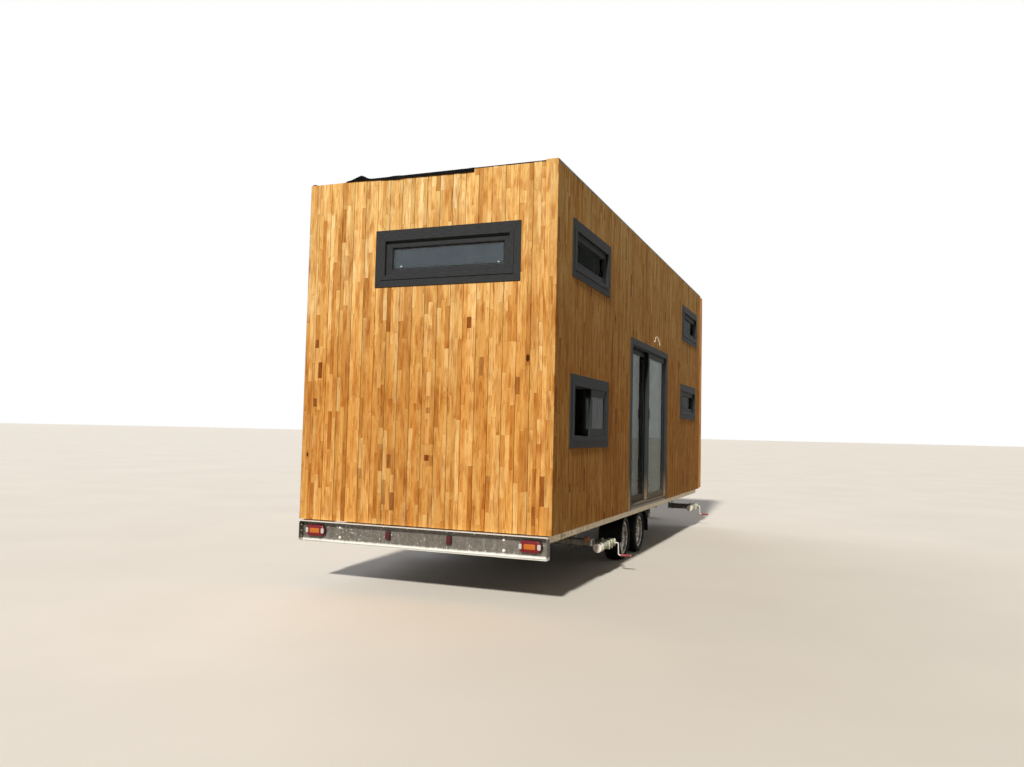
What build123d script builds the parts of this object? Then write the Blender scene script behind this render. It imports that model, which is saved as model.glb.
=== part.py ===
"""A road-legal tiny house: a flat-roofed timber cabin on a galvanised tandem-axle trailer.

Millimetres. X runs across, +X to the door side. +Y points forward, to the drawbar. +Z is up, from the ground.
Distances along the house are given from the outer face of the rear boards, and ahead turns them into Y.
"""
import math
import os

from build123d import *

# The house
house_length = 7350
house_width = 2500
boards_bottom = 590
boards_top = 3770
board_thickness = 22
frame_thickness = 110
skirt_gap = 2

# The floor and the roof
floor_thickness = 60
floor_finish = 14
finish_gap = 4
roof_thickness = 110
roof_below_top = 85
parapet_width = 45
membrane_thickness = 4
membrane_below_top = 30
flap_left = -864
flap_right = 466
flap_peak = -696
flap_dip = -591
flap_peak_height = 33
flap_lift = 3
flap_drop = 34
flap_inner_drop = 40
flap_thickness = 5
coping_width = 34
coping_height = 14
corner_board_width = 48
corner_board_thickness = 27
corner_board_above = 20
corner_board_below_top = 40

# The trailer's frame
rail_bottom = 525
rail_height = 100
rail_width = 60
steel = 6
main_beam_height = 120
main_beam_width = 60
main_beam_x = 800
cross_height = 60
cross_width = 60
cross_wall = 4
packer_height = 17
low_beam_height = 60
low_beam_width = 80
low_beam_wall = 5
low_beam_reach = 1245
low_beam_at = 1250
rail_from_front = 180
front_beam_depth = 40
first_cross_at = 430
cross_spacing = 750
wheel_to_cross = 475
cross_before_pivot = 20
rear_beam_height = 190
rear_beam_bottom = 390
rear_beam_half = 1225
rear_web_inset = 30
rear_flange_depth = 65
end_plate_corner = 24
end_hole_radius = 7
end_hole_spacing = 50
fishplate_at = 330
fishplate_length = 90
fishplate_height = 56

# The drawbar and its jockey wheel
drawbar_reach = 1350
drawbar_tube = 80
drawbar_tube_wall = 5
drawbar_root_from_front = 1450
drawbar_nose_half = 55
drawbar_nose_length = 120
drawbar_tip_inset = 10
ball_bore = 50.4
coupling_length = 330
jockey_ahead = 700
jockey_radius = 110
jockey_tube = 48
jockey_sleeve = 60
jockey_sleeve_below = 60
jockey_column = 560
jockey_crank = 110
jockey_crank_rise = 40
jockey_grip_length = 90
jockey_fork_thickness = 8
jockey_fork_gap = 5
jockey_eye = 18
jockey_rod_radius = 6
jockey_width = 60
jockey_tread_round = 14
jockey_axle_radius = 8
jockey_clamp_gap = 9
coupling_lap = 20
neck_width = 64
neck_height = 58
neck_corner = 8
neck_inset = 4
cup_radius = 39
cup_height = 82
cup_below = 12
ball_depth = 37
lever_width = 26
lever_thickness = 7
lever_length = 200
lever_rise = 46

# The wheels
wheel_radius = 253
wheel_width = 195
rim_radius = 183
bead_half = 71.5
bead_depth = 16
shoulder_width = 20
shoulder_drop = 17
tread_thickness = 15
well_depth = 16
rim_metal = 4
vent_circle = 124
vent_count = 8
vent_radius = 14
cap_radius = 28
cap_height = 22
hub_face = 62
rear_wheel_at = 2970
wheel_spacing = 750
wheel_x = 1025
stub_radius = 16
stub_clearance = 0.1
arm_length = 150
arm_thickness = 24
arm_eye_radius = 32
arm_root_radius = 42
axle_size = 80
axle_half = 888
saddle_height = 8
stub_length = 190
guard_radius = 300
guard_thickness = 4
guard_inner_x = 890
guard_outer_x = 1158
guard_lip = 24

# The swivel jacks
jack_x = 1200
jack_height = 305
jack_tube_radius = 38
jack_leg_radius = 31
jack_clearance = 0.6
collar_radius = 47
collar_length = 30
saddle_half = 45
saddle_corner = 16
saddle_thickness = 12
saddle_from_pivot = 55
head_half = 41
head_thickness = 12
cap_taper = 20
foot_radius = 45
foot_thickness = 8
pivot_to_head = 195
pivot_to_foot = 375
leg_out_at_rest = 75
leg_in_tube = 315
tube_bore = 407
rear_foot_at = 1545
front_foot_from_front = 580
pivot_radius = 22
pivot_plate_gap = 7
pivot_plate_radius = 56
pivot_plate_thickness = 8
washer_radius = 31
washer_thickness = 7
arm_radius = 42
arm_wall = 6
hanger_plate_radius = 60
hanger_eye = 54
hanger_top_half = 25
hanger_cheek = 10
crank_from_end = 40
crank_boss_radius = 22
crank_boss_proud = 10
crank_rod_radius = 6
crank_reach = 40
crank_drop = 128
grip_length = 112
grip_radius = 13
running = 0.3

# The windows' outer frames: the high ones hang from the top of the boards, the front ones stand off the front
rear_window_left = -510
rear_window_below_top = 510
rear_window_width = 1435
rear_window_height = 525
side_window_width = 1250
high_rear_below_top = 404
high_front_below_top = 380
high_height = 528
low_rear_bottom = 1312
low_rear_height = 660
low_front_bottom = 1695
low_front_height = 512
rear_windows_at = 420
high_front_from_front = 390
low_front_from_front = 475
casing_width = 76
casing_proud = 9
frame_proud = 17
frame_depth = 90
sash_frame_width = 105
sash_width = 60
sash_recess = 14
sash_depth = 55
slider_width = 42
slider_depth = 26
slider_gap = 6
slider_lag = 24
slider_pane = 10
slider_pane_inset = 8
knob_radius = 13
knob_reach = 16
glass_recess = 18
glass_thickness = 24
seat = 0.3

# The sliding door
door_at = 2610
door_width = 2010
door_top = 2545
door_proud = 12
jamb_width = 65
door_head_height = 75
sill_height = 25
leaf_thickness = 40
leaf_gap = 10
leaf_overlap = 60
stile_width = 78
leaf_side_gap = 6
track_inset = 28
track_width = 8
track_height = 9
pull_z = 1700
pull_length = 120
pull_width = 28
pull_depth = 12

# Lamps and the cable over the door
tail_lamp_width = 208
tail_lamp_height = 105
tail_lamp_x = 1065
tail_lamp_z = 492
small_lamp_width = 52
small_lamp_height = 78
small_lamp_x = 304
lamp_depth = 42
lamp_edge = 5
small_lamp_depth = 25
marker_radius = 30
marker_depth = 16
marker_x = 1199
marker_above_beam = 4
marker_tab = 6
marker_lap = 4
cable_radius = 4.5
cable_at = 3850
cable_z = 2630
gland_depth = 8

rear_overhang = rear_flange_depth - rear_web_inset
total_length = rear_overhang + house_length + drawbar_reach
half_width = house_width / 2
boards_inner = half_width - board_thickness
room_half = boards_inner - frame_thickness
rail_top = rail_bottom + rail_height
floor_top = rail_top + floor_thickness
roof_top = boards_top - roof_below_top
wall_top = roof_top - roof_thickness
cross_bottom = rail_top - cross_height
main_beam_bottom = cross_bottom - main_beam_height
low_beam_top = main_beam_bottom - packer_height
low_beam_bottom = low_beam_top - low_beam_height
drawbar_bottom = main_beam_bottom - drawbar_tube
front_wheel_at = rear_wheel_at + wheel_spacing
rail_front = house_length - rail_from_front
rail_outer = boards_inner - skirt_gap
rail_inner = rail_outer - rail_width
front_foot_at = house_length - front_foot_from_front
drawbar_root = house_length - drawbar_root_from_front
jockey_at = house_length + jockey_ahead
room_rear = board_thickness + frame_thickness
room_front = house_length - room_rear
hole_lap = 12
bead_radius = rim_radius - bead_depth
marker_z = low_beam_top + marker_above_beam


def ahead(distance):
    """Y of a place at this distance forward of the rear boards."""
    return distance + rear_overhang - total_length / 2


def block(x0, x1, d0, d1, z0, z1):
    """A cuboid between two widths, two distances along the house and two heights."""
    centre = Pos((x0 + x1) / 2, (ahead(d0) + ahead(d1)) / 2, (z0 + z1) / 2)
    return centre * Box(abs(x1 - x0), abs(d1 - d0), abs(z1 - z0))


def both_sides(shape):
    """The shape and its mirror image across the middle of the house."""
    return [shape, mirror(shape, about=Plane.YZ)]


def write(name, pieces):
    """Writes one node, of one solid or of several that stay apart."""
    pieces = pieces if isinstance(pieces, list) else [pieces]
    solids = [solid for piece in pieces for solid in piece.solids()]
    shape = solids[0] if len(solids) == 1 else Compound(children=solids)
    shape.label = name
    export_step(shape, f"parts/{name}.step")


def square_tube(width, height, thickness, length):
    """A hollow rectangular tube along Y from 0, centred in X, standing on Z = 0."""
    outline = Plane.XZ * (Pos(0, height / 2) * RectangleRounded(width, height, thickness * 1.5))
    hollow = Plane.XZ * (Pos(0, height / 2) * Rectangle(width - 2 * thickness, height - 2 * thickness))
    return extrude(outline - hollow, -length)


def window_ring(width, height, border, depth, chamfer_size=0):
    """A rectangular ring lying in XY, centred, from Z = 0 up, with its inner top edge bevelled."""
    ring = extrude(Rectangle(width, height) - Rectangle(width - 2 * border, height - 2 * border), depth)
    if chamfer_size:
        inner = [
            edge for edge in ring.edges().filter_by(Plane.XY).group_by(Axis.Z)[-1]
            if abs(edge.center().X) < (width - border) / 2 and abs(edge.center().Y) < (height - border) / 2
        ]
        ring = chamfer(inner, chamfer_size)
    return ring


def right_side(distance, z, x):
    """A place on the right wall, for things drawn in XY with +X forward along the house and +Z outward."""
    return Plane(origin=(x, ahead(distance), z), x_dir=(0, 1, 0), z_dir=(1, 0, 0))


def left_side(distance, z, x):
    """The same on the left wall, with +X drawn rearward."""
    return Plane(origin=(-x, ahead(distance), z), x_dir=(0, -1, 0), z_dir=(-1, 0, 0))


def rear_side(x, z, distance):
    """The same on the rear wall, with +X drawn to the right."""
    return Plane(origin=(x, ahead(distance), z), x_dir=(1, 0, 0), z_dir=(0, -1, 0))


def front_side(x, z, distance):
    """The same on the front wall, with +X drawn to the left."""
    return Plane(origin=(x, ahead(distance), z), x_dir=(-1, 0, 0), z_dir=(0, 1, 0))


# Each window: where its centre is, its width and its height
rear_pair_at = rear_windows_at + side_window_width / 2
high_front_at = house_length - high_front_from_front - side_window_width / 2
low_front_at = house_length - low_front_from_front - side_window_width / 2
side_windows = [
    (rear_pair_at, boards_top - high_rear_below_top - high_height / 2, side_window_width, high_height),
    (rear_pair_at, low_rear_bottom + low_rear_height / 2, side_window_width, low_rear_height),
    (high_front_at, boards_top - high_front_below_top - high_height / 2, side_window_width, high_height),
    (low_front_at, low_front_bottom + low_front_height / 2, side_window_width, low_front_height),
]
end_window_x = rear_window_left + rear_window_width / 2
end_window_z = boards_top - rear_window_below_top - rear_window_height / 2


def window_places():
    """Every window as its plane on the boards, its width and height, and whether it slides."""
    places = []
    end_size = (rear_window_width, rear_window_height)
    for index, (distance, z, width, height) in enumerate(side_windows):
        places.append((right_side(distance, z, half_width), width, height, index == 1))
        places.append((left_side(distance, z, half_width), width, height, False))
    places.append((rear_side(end_window_x, end_window_z, 0), *end_size, False))
    places.append((front_side(end_window_x, end_window_z, house_length), *end_size, False))
    return places


def window_cuts():
    """The blocks that open the walls and boards for the windows."""
    cuts = []
    deep = board_thickness + frame_thickness
    for plane, width, height, slides in window_places():
        hole = Rectangle(width - 2 * casing_width + 2 * hole_lap, height - 2 * casing_width + 2 * hole_lap)
        cuts.append(plane * Pos(0, 0, -deep - 50) * extrude(hole, deep + 100))
    return cuts


def cut_all(shape, cuts):
    """The shape with every cut that meets it taken away."""
    for cut in cuts:
        shape = shape - cut
    return shape


def walls():
    """The timber frame walls, split beside and over the doorway, each open at its windows."""
    cuts = window_cuts()
    rear = block(-boards_inner, boards_inner, board_thickness, room_rear, floor_top, wall_top)
    front = block(
        -boards_inner, boards_inner, room_front, house_length - board_thickness, floor_top, wall_top,
    )
    left = block(-boards_inner, -room_half, room_rear, room_front, floor_top, wall_top)
    door_end = door_at + door_width
    right_rear = block(room_half, boards_inner, room_rear, door_at, floor_top, wall_top)
    right_front = block(room_half, boards_inner, door_end, room_front, floor_top, wall_top)
    lintel = block(room_half, boards_inner, door_at, door_end, door_top, wall_top)
    write("rear_wall", cut_all(rear, cuts))
    write("front_wall", cut_all(front, cuts))
    write("left_wall", cut_all(left, cuts))
    write("right_wall_rear", cut_all(right_rear, cuts))
    write("right_wall_front", cut_all(right_front, cuts))
    write("right_wall_over_door", lintel)


def cladding():
    """The upright boards as one sheet a side, hanging past the floor over the trailer's rails."""
    cuts = window_cuts()
    cuts.append(block(0, half_width + 50, door_at, door_at + door_width, 0, door_top))
    joint = 1
    rear = block(-half_width, half_width, 0, board_thickness, boards_bottom, boards_top)
    front = block(
        -half_width, half_width, house_length - board_thickness, house_length, boards_bottom, boards_top,
    )
    right = block(
        boards_inner, half_width, board_thickness + joint, house_length - board_thickness - joint,
        boards_bottom, boards_top - coping_height,
    )
    left = mirror(right, about=Plane.YZ)
    write("cladding", [cut_all(sheet, cuts) for sheet in (rear, front, right, left)])


def roof():
    """The flat roof, its parapet upstand, the membrane laid on it and the metal coping on the long sides."""
    deck = block(
        -boards_inner, boards_inner, board_thickness, house_length - board_thickness, wall_top, roof_top,
    )
    write("roof_deck", deck)
    outer = block(
        -boards_inner, boards_inner, board_thickness, house_length - board_thickness,
        roof_top, boards_top - coping_height,
    )
    inner = block(
        -boards_inner + parapet_width, boards_inner - parapet_width,
        board_thickness + parapet_width, house_length - board_thickness - parapet_width,
        roof_top - 1, boards_top,
    )
    write("parapet", outer - inner)
    inset = parapet_width + running
    sheet = block(
        -boards_inner + inset, boards_inner - inset,
        board_thickness + inset, house_length - board_thickness - inset,
        roof_top, boards_top - membrane_below_top,
    )
    within = inset + membrane_thickness
    tray = block(
        -boards_inner + within, boards_inner - within,
        board_thickness + within, house_length - board_thickness - within,
        roof_top + membrane_thickness, boards_top,
    )
    write("roof_membrane", sheet - tray + membrane_flap())
    strip = block(
        half_width - coping_width, half_width, board_thickness + 1, house_length - board_thickness - 1,
        boards_top - coping_height, boards_top,
    )
    write("coping", both_sides(strip))


def membrane_flap():
    """The membrane drawn over the rear boards and down their faces, with a hump where it was left slack."""
    top = boards_top + flap_lift

    def outline(base):
        foot_line = Line((flap_left, base), (flap_right, base))
        right_edge = Line((flap_right, base), (flap_right, top))
        level = Line((flap_right, top), (flap_dip, top))
        hump = Spline(
            (flap_dip, top), (flap_peak, boards_top + flap_peak_height), (flap_left, top),
            tangents=((-1, 0), (-1, 0)),
        )
        left_edge = Line((flap_left, top), (flap_left, base))
        return make_face(foot_line + right_edge + level + hump + left_edge)

    inner = board_thickness + parapet_width + running + membrane_thickness
    outside = Plane.XZ.offset(-ahead(0))
    inside = Plane.XZ.offset(-ahead(inner))
    outer_lip = outside * extrude(outline(boards_top - flap_drop), flap_thickness)
    over = inside * extrude(outline(boards_top), inner)
    inner_lip = inside * extrude(outline(boards_top - flap_inner_drop), membrane_thickness)
    return outer_lip + over + inner_lip


def floor():
    """The insulated floor panel on top of the trailer, its floor covering glued on between the walls."""
    deck = block(
        -boards_inner, boards_inner, board_thickness, house_length - board_thickness, rail_top, floor_top,
    )
    notch = block(room_half, boards_inner + 1, door_at, door_at + door_width, rail_top - 1, floor_top + 1)
    covering = block(
        finish_gap - room_half, room_half - finish_gap, room_rear + finish_gap, room_front - finish_gap,
        floor_top, floor_top + floor_finish,
    )
    write("floor_deck", deck - notch + covering)


def corner_boards():
    """The upright strips that cover the board ends at the two front corners."""
    strip = block(
        half_width, half_width + corner_board_thickness, house_length - corner_board_width, house_length,
        boards_bottom + corner_board_above, boards_top - corner_board_below_top,
    )
    write("corner_boards", both_sides(strip))


def channel(depth, height, thickness, length):
    """A folded channel along Y from 0, its back on X = 0 and open towards +X, standing on Z = 0."""
    sheet = Pos(depth / 2, height / 2) * Rectangle(depth, height)
    sheet = fillet(sheet.vertices().group_by(Axis.X)[0], 2 * thickness)
    inside = Pos(depth / 2 + thickness, height / 2) * Rectangle(depth, height - 2 * thickness)
    inside = fillet(inside.vertices().group_by(Axis.X)[0], thickness)
    return extrude(Plane.XZ * (sheet - inside), -length)


def cross_places():
    """Where the cross members stand: by both jack pivots and round the wheels, and evenly between those."""
    rear_pivot = rear_foot_at + pivot_to_foot
    front_pivot = front_foot_at + pivot_to_foot
    posts = [
        first_cross_at, rear_pivot, rear_wheel_at - wheel_to_cross, (rear_wheel_at + front_wheel_at) / 2,
        front_wheel_at + wheel_to_cross, front_pivot - cross_before_pivot,
    ]
    places = [posts[0]]
    for near, far in zip(posts, posts[1:]):
        bays = max(1, round((far - near) / cross_spacing))
        places += [near + (far - near) * bay / bays for bay in range(1, bays + 1)]
    return places


def trailer():
    """The frame under the floor: folded rails, square-tube beams and a folded beam across the front."""
    start = rear_web_inset + steel
    folded = mirror(channel(rail_width, rail_height, steel, rail_front - start), about=Plane.YZ)
    rail = Pos(rail_outer, ahead(start), rail_bottom) * folded
    fishplate = block(
        rail_outer - 1, rail_outer + steel, fishplate_at, fishplate_at + fishplate_length,
        boards_bottom - skirt_gap - fishplate_height, boards_bottom - skirt_gap,
    )
    write("side_rails", both_sides(rail + fishplate))
    beam = Pos(main_beam_x + main_beam_width / 2, ahead(start), main_beam_bottom) * square_tube(
        main_beam_width, main_beam_height, steel, rail_front - start,
    )
    write("main_beams", both_sides(beam))
    bars = []
    for place in cross_places():
        bar = Pos(0, ahead(place), cross_bottom) * Rot(0, 0, 90) * Pos(0, -rail_inner, 0) * square_tube(
            cross_width, cross_height, cross_wall, 2 * rail_inner,
        )
        bars.append(bar)
    front = Pos(rail_outer, ahead(rail_front), cross_bottom) * Rot(0, 0, 90) * channel(
        front_beam_depth, cross_height, steel, 2 * rail_outer,
    )
    bars.append(front)
    write("cross_members", bars)
    write("low_beam", low_beam())


def low_beam():
    """The square tube slung under the main beams on two packers, with a round-headed tab for each marker."""
    across = Pos(0, ahead(low_beam_at), low_beam_bottom) * Rot(0, 0, 90) * Pos(0, -low_beam_reach, 0)
    beam = across * square_tube(low_beam_width, low_beam_height, low_beam_wall, 2 * low_beam_reach)
    half_depth = low_beam_width / 2
    packer = block(
        main_beam_x, main_beam_x + main_beam_width, low_beam_at - half_depth, low_beam_at + half_depth,
        low_beam_top, main_beam_bottom,
    )
    tab_foot = low_beam_bottom + low_beam_height / 3
    tab_radius = marker_radius - marker_lap
    outline = Circle(tab_radius) + Pos(0, (tab_foot - marker_z) / 2) * Rectangle(
        2 * tab_radius, marker_z - tab_foot,
    )
    tab = rear_side(marker_x, marker_z, low_beam_at - half_depth) * extrude(outline, marker_tab)
    return beam + both_sides(packer) + both_sides(tab)


def rear_beam():
    """The deep channel across the rear that carries the lamps, open to the rear, with a plate at each end."""
    depth = rear_flange_depth + steel
    folded = channel(depth, rear_beam_height, steel, 2 * rear_beam_half)
    place = Pos(-rear_beam_half, ahead(rear_web_inset + steel), rear_beam_bottom) * Rot(0, 0, -90)
    outline = Rectangle(depth, rear_beam_height)
    outline = fillet(outline.vertices().group_by(Axis.X)[0], end_plate_corner)
    outline = outline - GridLocations(0, end_hole_spacing, 1, 3) * Circle(end_hole_radius)
    middle = rear_web_inset + steel - depth / 2
    middle_z = rear_beam_bottom + rear_beam_height / 2
    plate = right_side(middle, middle_z, rear_beam_half - steel) * extrude(outline, steel)
    write("rear_beam", place * folded + both_sides(plate))


def drawbar():
    """The two tubes that meet at the coupling, the coupling head and the jockey wheel."""
    reach = house_length + drawbar_reach
    back = reach - coupling_length + coupling_lap
    meet = back + drawbar_tube / 2
    tip_x = drawbar_nose_half - drawbar_tip_inset
    root_x = main_beam_x + main_beam_width / 2
    angle = math.degrees(math.atan2(root_x - tip_x, meet - drawbar_root))
    length = math.hypot(root_x - tip_x, meet - drawbar_root)
    tube = Pos(root_x, ahead(drawbar_root), drawbar_bottom) * Rot(0, 0, angle) * square_tube(
        drawbar_tube, drawbar_tube, drawbar_tube_wall, length,
    )
    keep = block(0, root_x + 2 * drawbar_tube, drawbar_root, back, drawbar_bottom - 1, main_beam_bottom + 1)
    half = tube & keep
    whole = half + mirror(half, about=Plane.YZ)
    nose = block(
        -drawbar_nose_half, drawbar_nose_half, back - drawbar_nose_length, back,
        drawbar_bottom, main_beam_bottom,
    )
    write("drawbar", whole + nose)
    write("coupling_head", coupling_head(back, reach - cup_radius))
    slope = (root_x - tip_x) / (meet - drawbar_root)
    rail_x = root_x - slope * (jockey_at - drawbar_root)
    column_x = rail_x + drawbar_tube / 2 / math.cos(math.atan(slope)) + jockey_clamp_gap + jockey_sleeve / 2
    rail = Pos(root_x, ahead(drawbar_root), drawbar_bottom) * Rot(0, 0, angle) * (
        Pos(0, length / 2, drawbar_tube / 2) * Box(drawbar_tube, length, drawbar_tube)
    )
    write("jockey_stand", jockey_stand(column_x, rail_x, rail))
    wheel = Cylinder(jockey_radius, jockey_width)
    wheel = fillet(wheel.edges().filter_by(GeomType.CIRCLE), jockey_tread_round)
    wheel = wheel - Cylinder(jockey_axle_radius + seat, 2 * jockey_width)
    write("jockey_wheel", Pos(column_x, ahead(jockey_at), jockey_radius) * Rot(0, 90, 0) * wheel)


def coupling_head(back, ball_at):
    """The ball coupling: a pressed neck that swells into a domed cup over the ball, and its hand lever."""
    middle = drawbar_bottom + drawbar_tube / 2 + 1
    root = Plane(origin=(0, ahead(back), middle), x_dir=(1, 0, 0), z_dir=(0, 1, 0))
    throat = Plane(origin=(0, ahead(ball_at), middle), x_dir=(1, 0, 0), z_dir=(0, 1, 0))
    neck = loft([
        root * RectangleRounded(neck_width, neck_height, neck_corner),
        throat * RectangleRounded(2 * cup_radius - neck_inset, neck_height, 2.5 * neck_corner),
    ])
    cup = extrude(Circle(cup_radius), cup_height)
    cup = fillet(cup.edges().group_by(Axis.Z)[-1], cup_radius / 2)
    cup_bottom = drawbar_bottom - cup_below
    cup = Pos(0, ahead(ball_at), cup_bottom) * cup
    bore = Pos(0, ahead(ball_at), cup_bottom - 1) * extrude(Circle(ball_bore / 2), ball_depth + 1)
    top = cup_bottom + cup_height
    near = (ahead(ball_at) - cup_radius / 2, top - lever_thickness / 2)
    crown = (ahead(ball_at) - cup_radius / 2 - lever_length / 2, top + 0.75 * lever_rise)
    tip = (ahead(ball_at) - cup_radius / 2 - lever_length, top + lever_rise)
    lower = [(y, z - lever_thickness) for y, z in (near, crown, tip)]
    outline = make_face(
        ThreePointArc(near, crown, tip) + Line(tip, lower[2])
        + ThreePointArc(lower[2], lower[1], lower[0]) + Line(lower[0], near)
    )
    lever = Plane.YZ.offset(-lever_width / 2) * extrude(outline, lever_width)
    return neck + cup + lever - bore


def jockey_stand(column_x, rail_x, rail):
    """The jockey wheel's leg in its clamped sleeve, with the fork and axle below and the crank on top."""
    fork_z = 2 * jockey_radius + jockey_fork_thickness
    axis = Pos(column_x, ahead(jockey_at), 0)
    leg = axis * Pos(0, 0, fork_z) * extrude(Circle(jockey_tube / 2), jockey_column)
    top = fork_z + jockey_column
    sleeve_from = drawbar_bottom - jockey_sleeve_below
    sleeve = axis * Pos(0, 0, sleeve_from) * extrude(Circle(jockey_sleeve / 2), top - sleeve_from)
    sleeve = fillet(sleeve.edges().group_by(Axis.Z)[-1], jockey_fork_thickness)
    fork_width = jockey_width + 2 * jockey_fork_gap + 2 * jockey_fork_thickness
    fork = axis * (Pos(0, 0, fork_z + jockey_fork_thickness / 2) * Box(
        fork_width, jockey_sleeve, jockey_fork_thickness,
    ))
    cheek = make_hull([
        *(Pos(0, jockey_radius) * Circle(jockey_eye)).edges(),
        *(Pos(0, fork_z - jockey_eye / 2) * Rectangle(2.5 * jockey_eye, jockey_eye)).edges(),
    ])
    inner_x = jockey_width / 2 + jockey_fork_gap
    for cheek_x in (-inner_x - jockey_fork_thickness, inner_x):
        fork = fork + axis * (Plane.YZ.offset(cheek_x) * extrude(cheek, jockey_fork_thickness))
    axle = axis * Pos(0, 0, jockey_radius) * Rot(0, 90, 0) * Cylinder(jockey_axle_radius, fork_width)
    clamp_half = jockey_sleeve / 2
    clamp = block(
        rail_x + drawbar_tube / 2, column_x, jockey_at - clamp_half, jockey_at + clamp_half,
        drawbar_bottom + jockey_clamp_gap, main_beam_bottom - jockey_clamp_gap,
    ) - rail
    y = ahead(jockey_at)
    start = (column_x, y, top - jockey_rod_radius)
    arm_z = top + jockey_crank_rise
    grip_y = y - jockey_crank
    path = FilletPolyline(
        start, (column_x, y, arm_z), (column_x, grip_y, arm_z), (column_x, grip_y, arm_z + jockey_crank_rise),
        radius=2 * jockey_rod_radius,
    )
    rod = sweep(Plane(origin=start, z_dir=(0, 0, 1)) * Circle(jockey_rod_radius), path=path)
    grip = Pos(column_x, grip_y, arm_z + jockey_crank_rise / 2) * extrude(
        Circle(2 * jockey_rod_radius), jockey_grip_length,
    )
    grip = fillet(grip.edges().filter_by(GeomType.CIRCLE), jockey_rod_radius / 2)
    return leg + sleeve + fork + axle + clamp + rod + grip


def tyre():
    """A low commercial tyre, a hollow casing turned about X with its outer side at +X."""
    half = wheel_width / 2
    tread = half - shoulder_width
    belly = (rim_radius + wheel_radius) / 2
    shoulder = wheel_radius - shoulder_drop
    under_tread = wheel_radius - tread_thickness
    outline = Polyline(
        (-bead_half, bead_radius), (-bead_half, rim_radius + 3), (-half + 3, rim_radius + 12), (-half, belly),
        (-half + 5, shoulder), (-tread, wheel_radius), (tread, wheel_radius), (half - 5, shoulder),
        (half, belly), (half - 3, rim_radius + 12), (bead_half, rim_radius + 3), (bead_half, bead_radius),
        (bead_half - 16, bead_radius), (bead_half - 12, rim_radius + 8), (half - 12, belly - 4),
        (tread - 8, under_tread), (-tread + 8, under_tread), (-half + 12, belly - 4),
        (-bead_half + 12, rim_radius + 8), (-bead_half + 16, bead_radius),
        close=True,
    )
    return revolve(make_face(outline), Axis.X)


def rim():
    """A pressed steel wheel with its brake drum, turned about X."""
    inside = bead_radius - seat
    flange = bead_half + seat
    metal = rim_metal
    well = inside - well_depth
    barrel = Polyline(
        (-flange - 8, rim_radius), (-flange, rim_radius - 3), (-flange, inside), (-34, inside), (-20, well),
        (34, well), (48, inside), (flange, inside), (flange, rim_radius - 3), (flange + 8, rim_radius),
        (flange + 8, rim_radius - metal), (flange + metal, rim_radius - 7), (flange + metal, inside - metal),
        (50, inside - metal), (36, well - metal), (-22, well - metal), (-36, inside - metal),
        (-flange - metal, inside - metal), (-flange - metal, rim_radius - 7),
        (-flange - 8, rim_radius - metal), close=True,
    )
    disc = Polyline(
        (36, 34), (42, 34), (42, 58), (30, 92), (38, 118), (38, well - 1), (32, well - 1),
        (32, 119), (24, 92), (36, 56), close=True,
    )
    bore = stub_radius + stub_clearance
    cap_edge = hub_face + cap_height / 2
    cap_tip = hub_face + cap_height
    cap_flat = cap_radius / 3
    drum_and_cap = Polyline(
        (cap_tip, cap_flat), (cap_tip, 0), (hub_face - 2, 0), (hub_face - 2, bore), (-60, bore), (-60, 64),
        (-48, 70), (-48, 104), (24, 104), (24, 92), (36, 56), (36, 34), (42, 34), (hub_face, 30),
        (hub_face, cap_radius), (cap_edge, cap_radius),
    ) + ThreePointArc((cap_edge, cap_radius), (cap_tip - 3, cap_radius * 0.75), (cap_tip, cap_flat))
    shape = revolve(make_face(barrel), Axis.X) + revolve(make_face(disc), Axis.X)
    vents = PolarLocations(vent_circle, vent_count)
    openings = Plane.YZ.offset(26) * vents * extrude(Circle(vent_radius), 30)
    return shape - openings + revolve(make_face(drum_and_cap), Axis.X)


def wheels():
    """Four wheels, and the two rubber-sprung axles that carry them."""
    names = {(1, 0): "rear_right", (1, 1): "front_right", (-1, 0): "rear_left", (-1, 1): "front_left"}
    for (side, which), name in names.items():
        place = Pos(side * wheel_x, ahead(rear_wheel_at + which * wheel_spacing), wheel_radius)
        turn = Rot(0, 0, 0) if side > 0 else Rot(0, 0, 180)
        write(f"tyre_{name}", place * turn * tyre())
        write(f"rim_{name}", place * turn * rim())
    beams = []
    arms = []
    beam_z = main_beam_bottom - axle_size / 2 - saddle_height
    for distance in (rear_wheel_at, front_wheel_at):
        beam_at = distance + arm_length
        beam = Plane(origin=(-axle_half, ahead(beam_at), beam_z), x_dir=(0, 1, 0), z_dir=(1, 0, 0)) * extrude(
            RectangleRounded(axle_size, axle_size, 10), 2 * axle_half,
        )
        for side in (-1, 1):
            beam = beam + block(
                side * (main_beam_x), side * (main_beam_x + main_beam_width), beam_at - 60, beam_at + 60,
                beam_z + axle_size / 2 - 4, main_beam_bottom,
            )
            arm_plane = Plane(
                origin=(side * axle_half, ahead(distance), wheel_radius), x_dir=(0, 1, 0), z_dir=(side, 0, 0),
            )
            rise = beam_z - wheel_radius
            outline = make_hull([
                *Circle(arm_eye_radius).edges(), *(Pos(arm_length, rise) * Circle(arm_root_radius)).edges(),
            ])
            if side < 0:
                arm_plane = right_side(distance, wheel_radius, side * axle_half)
            arm = arm_plane * extrude(outline, side * arm_thickness)
            stub = arm_plane * extrude(Circle(stub_radius), side * stub_length)
            arms.append(arm + stub)
        beams.append(beam)
    write("axle_beams", beams)
    write("swing_arms", arms)


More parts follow.
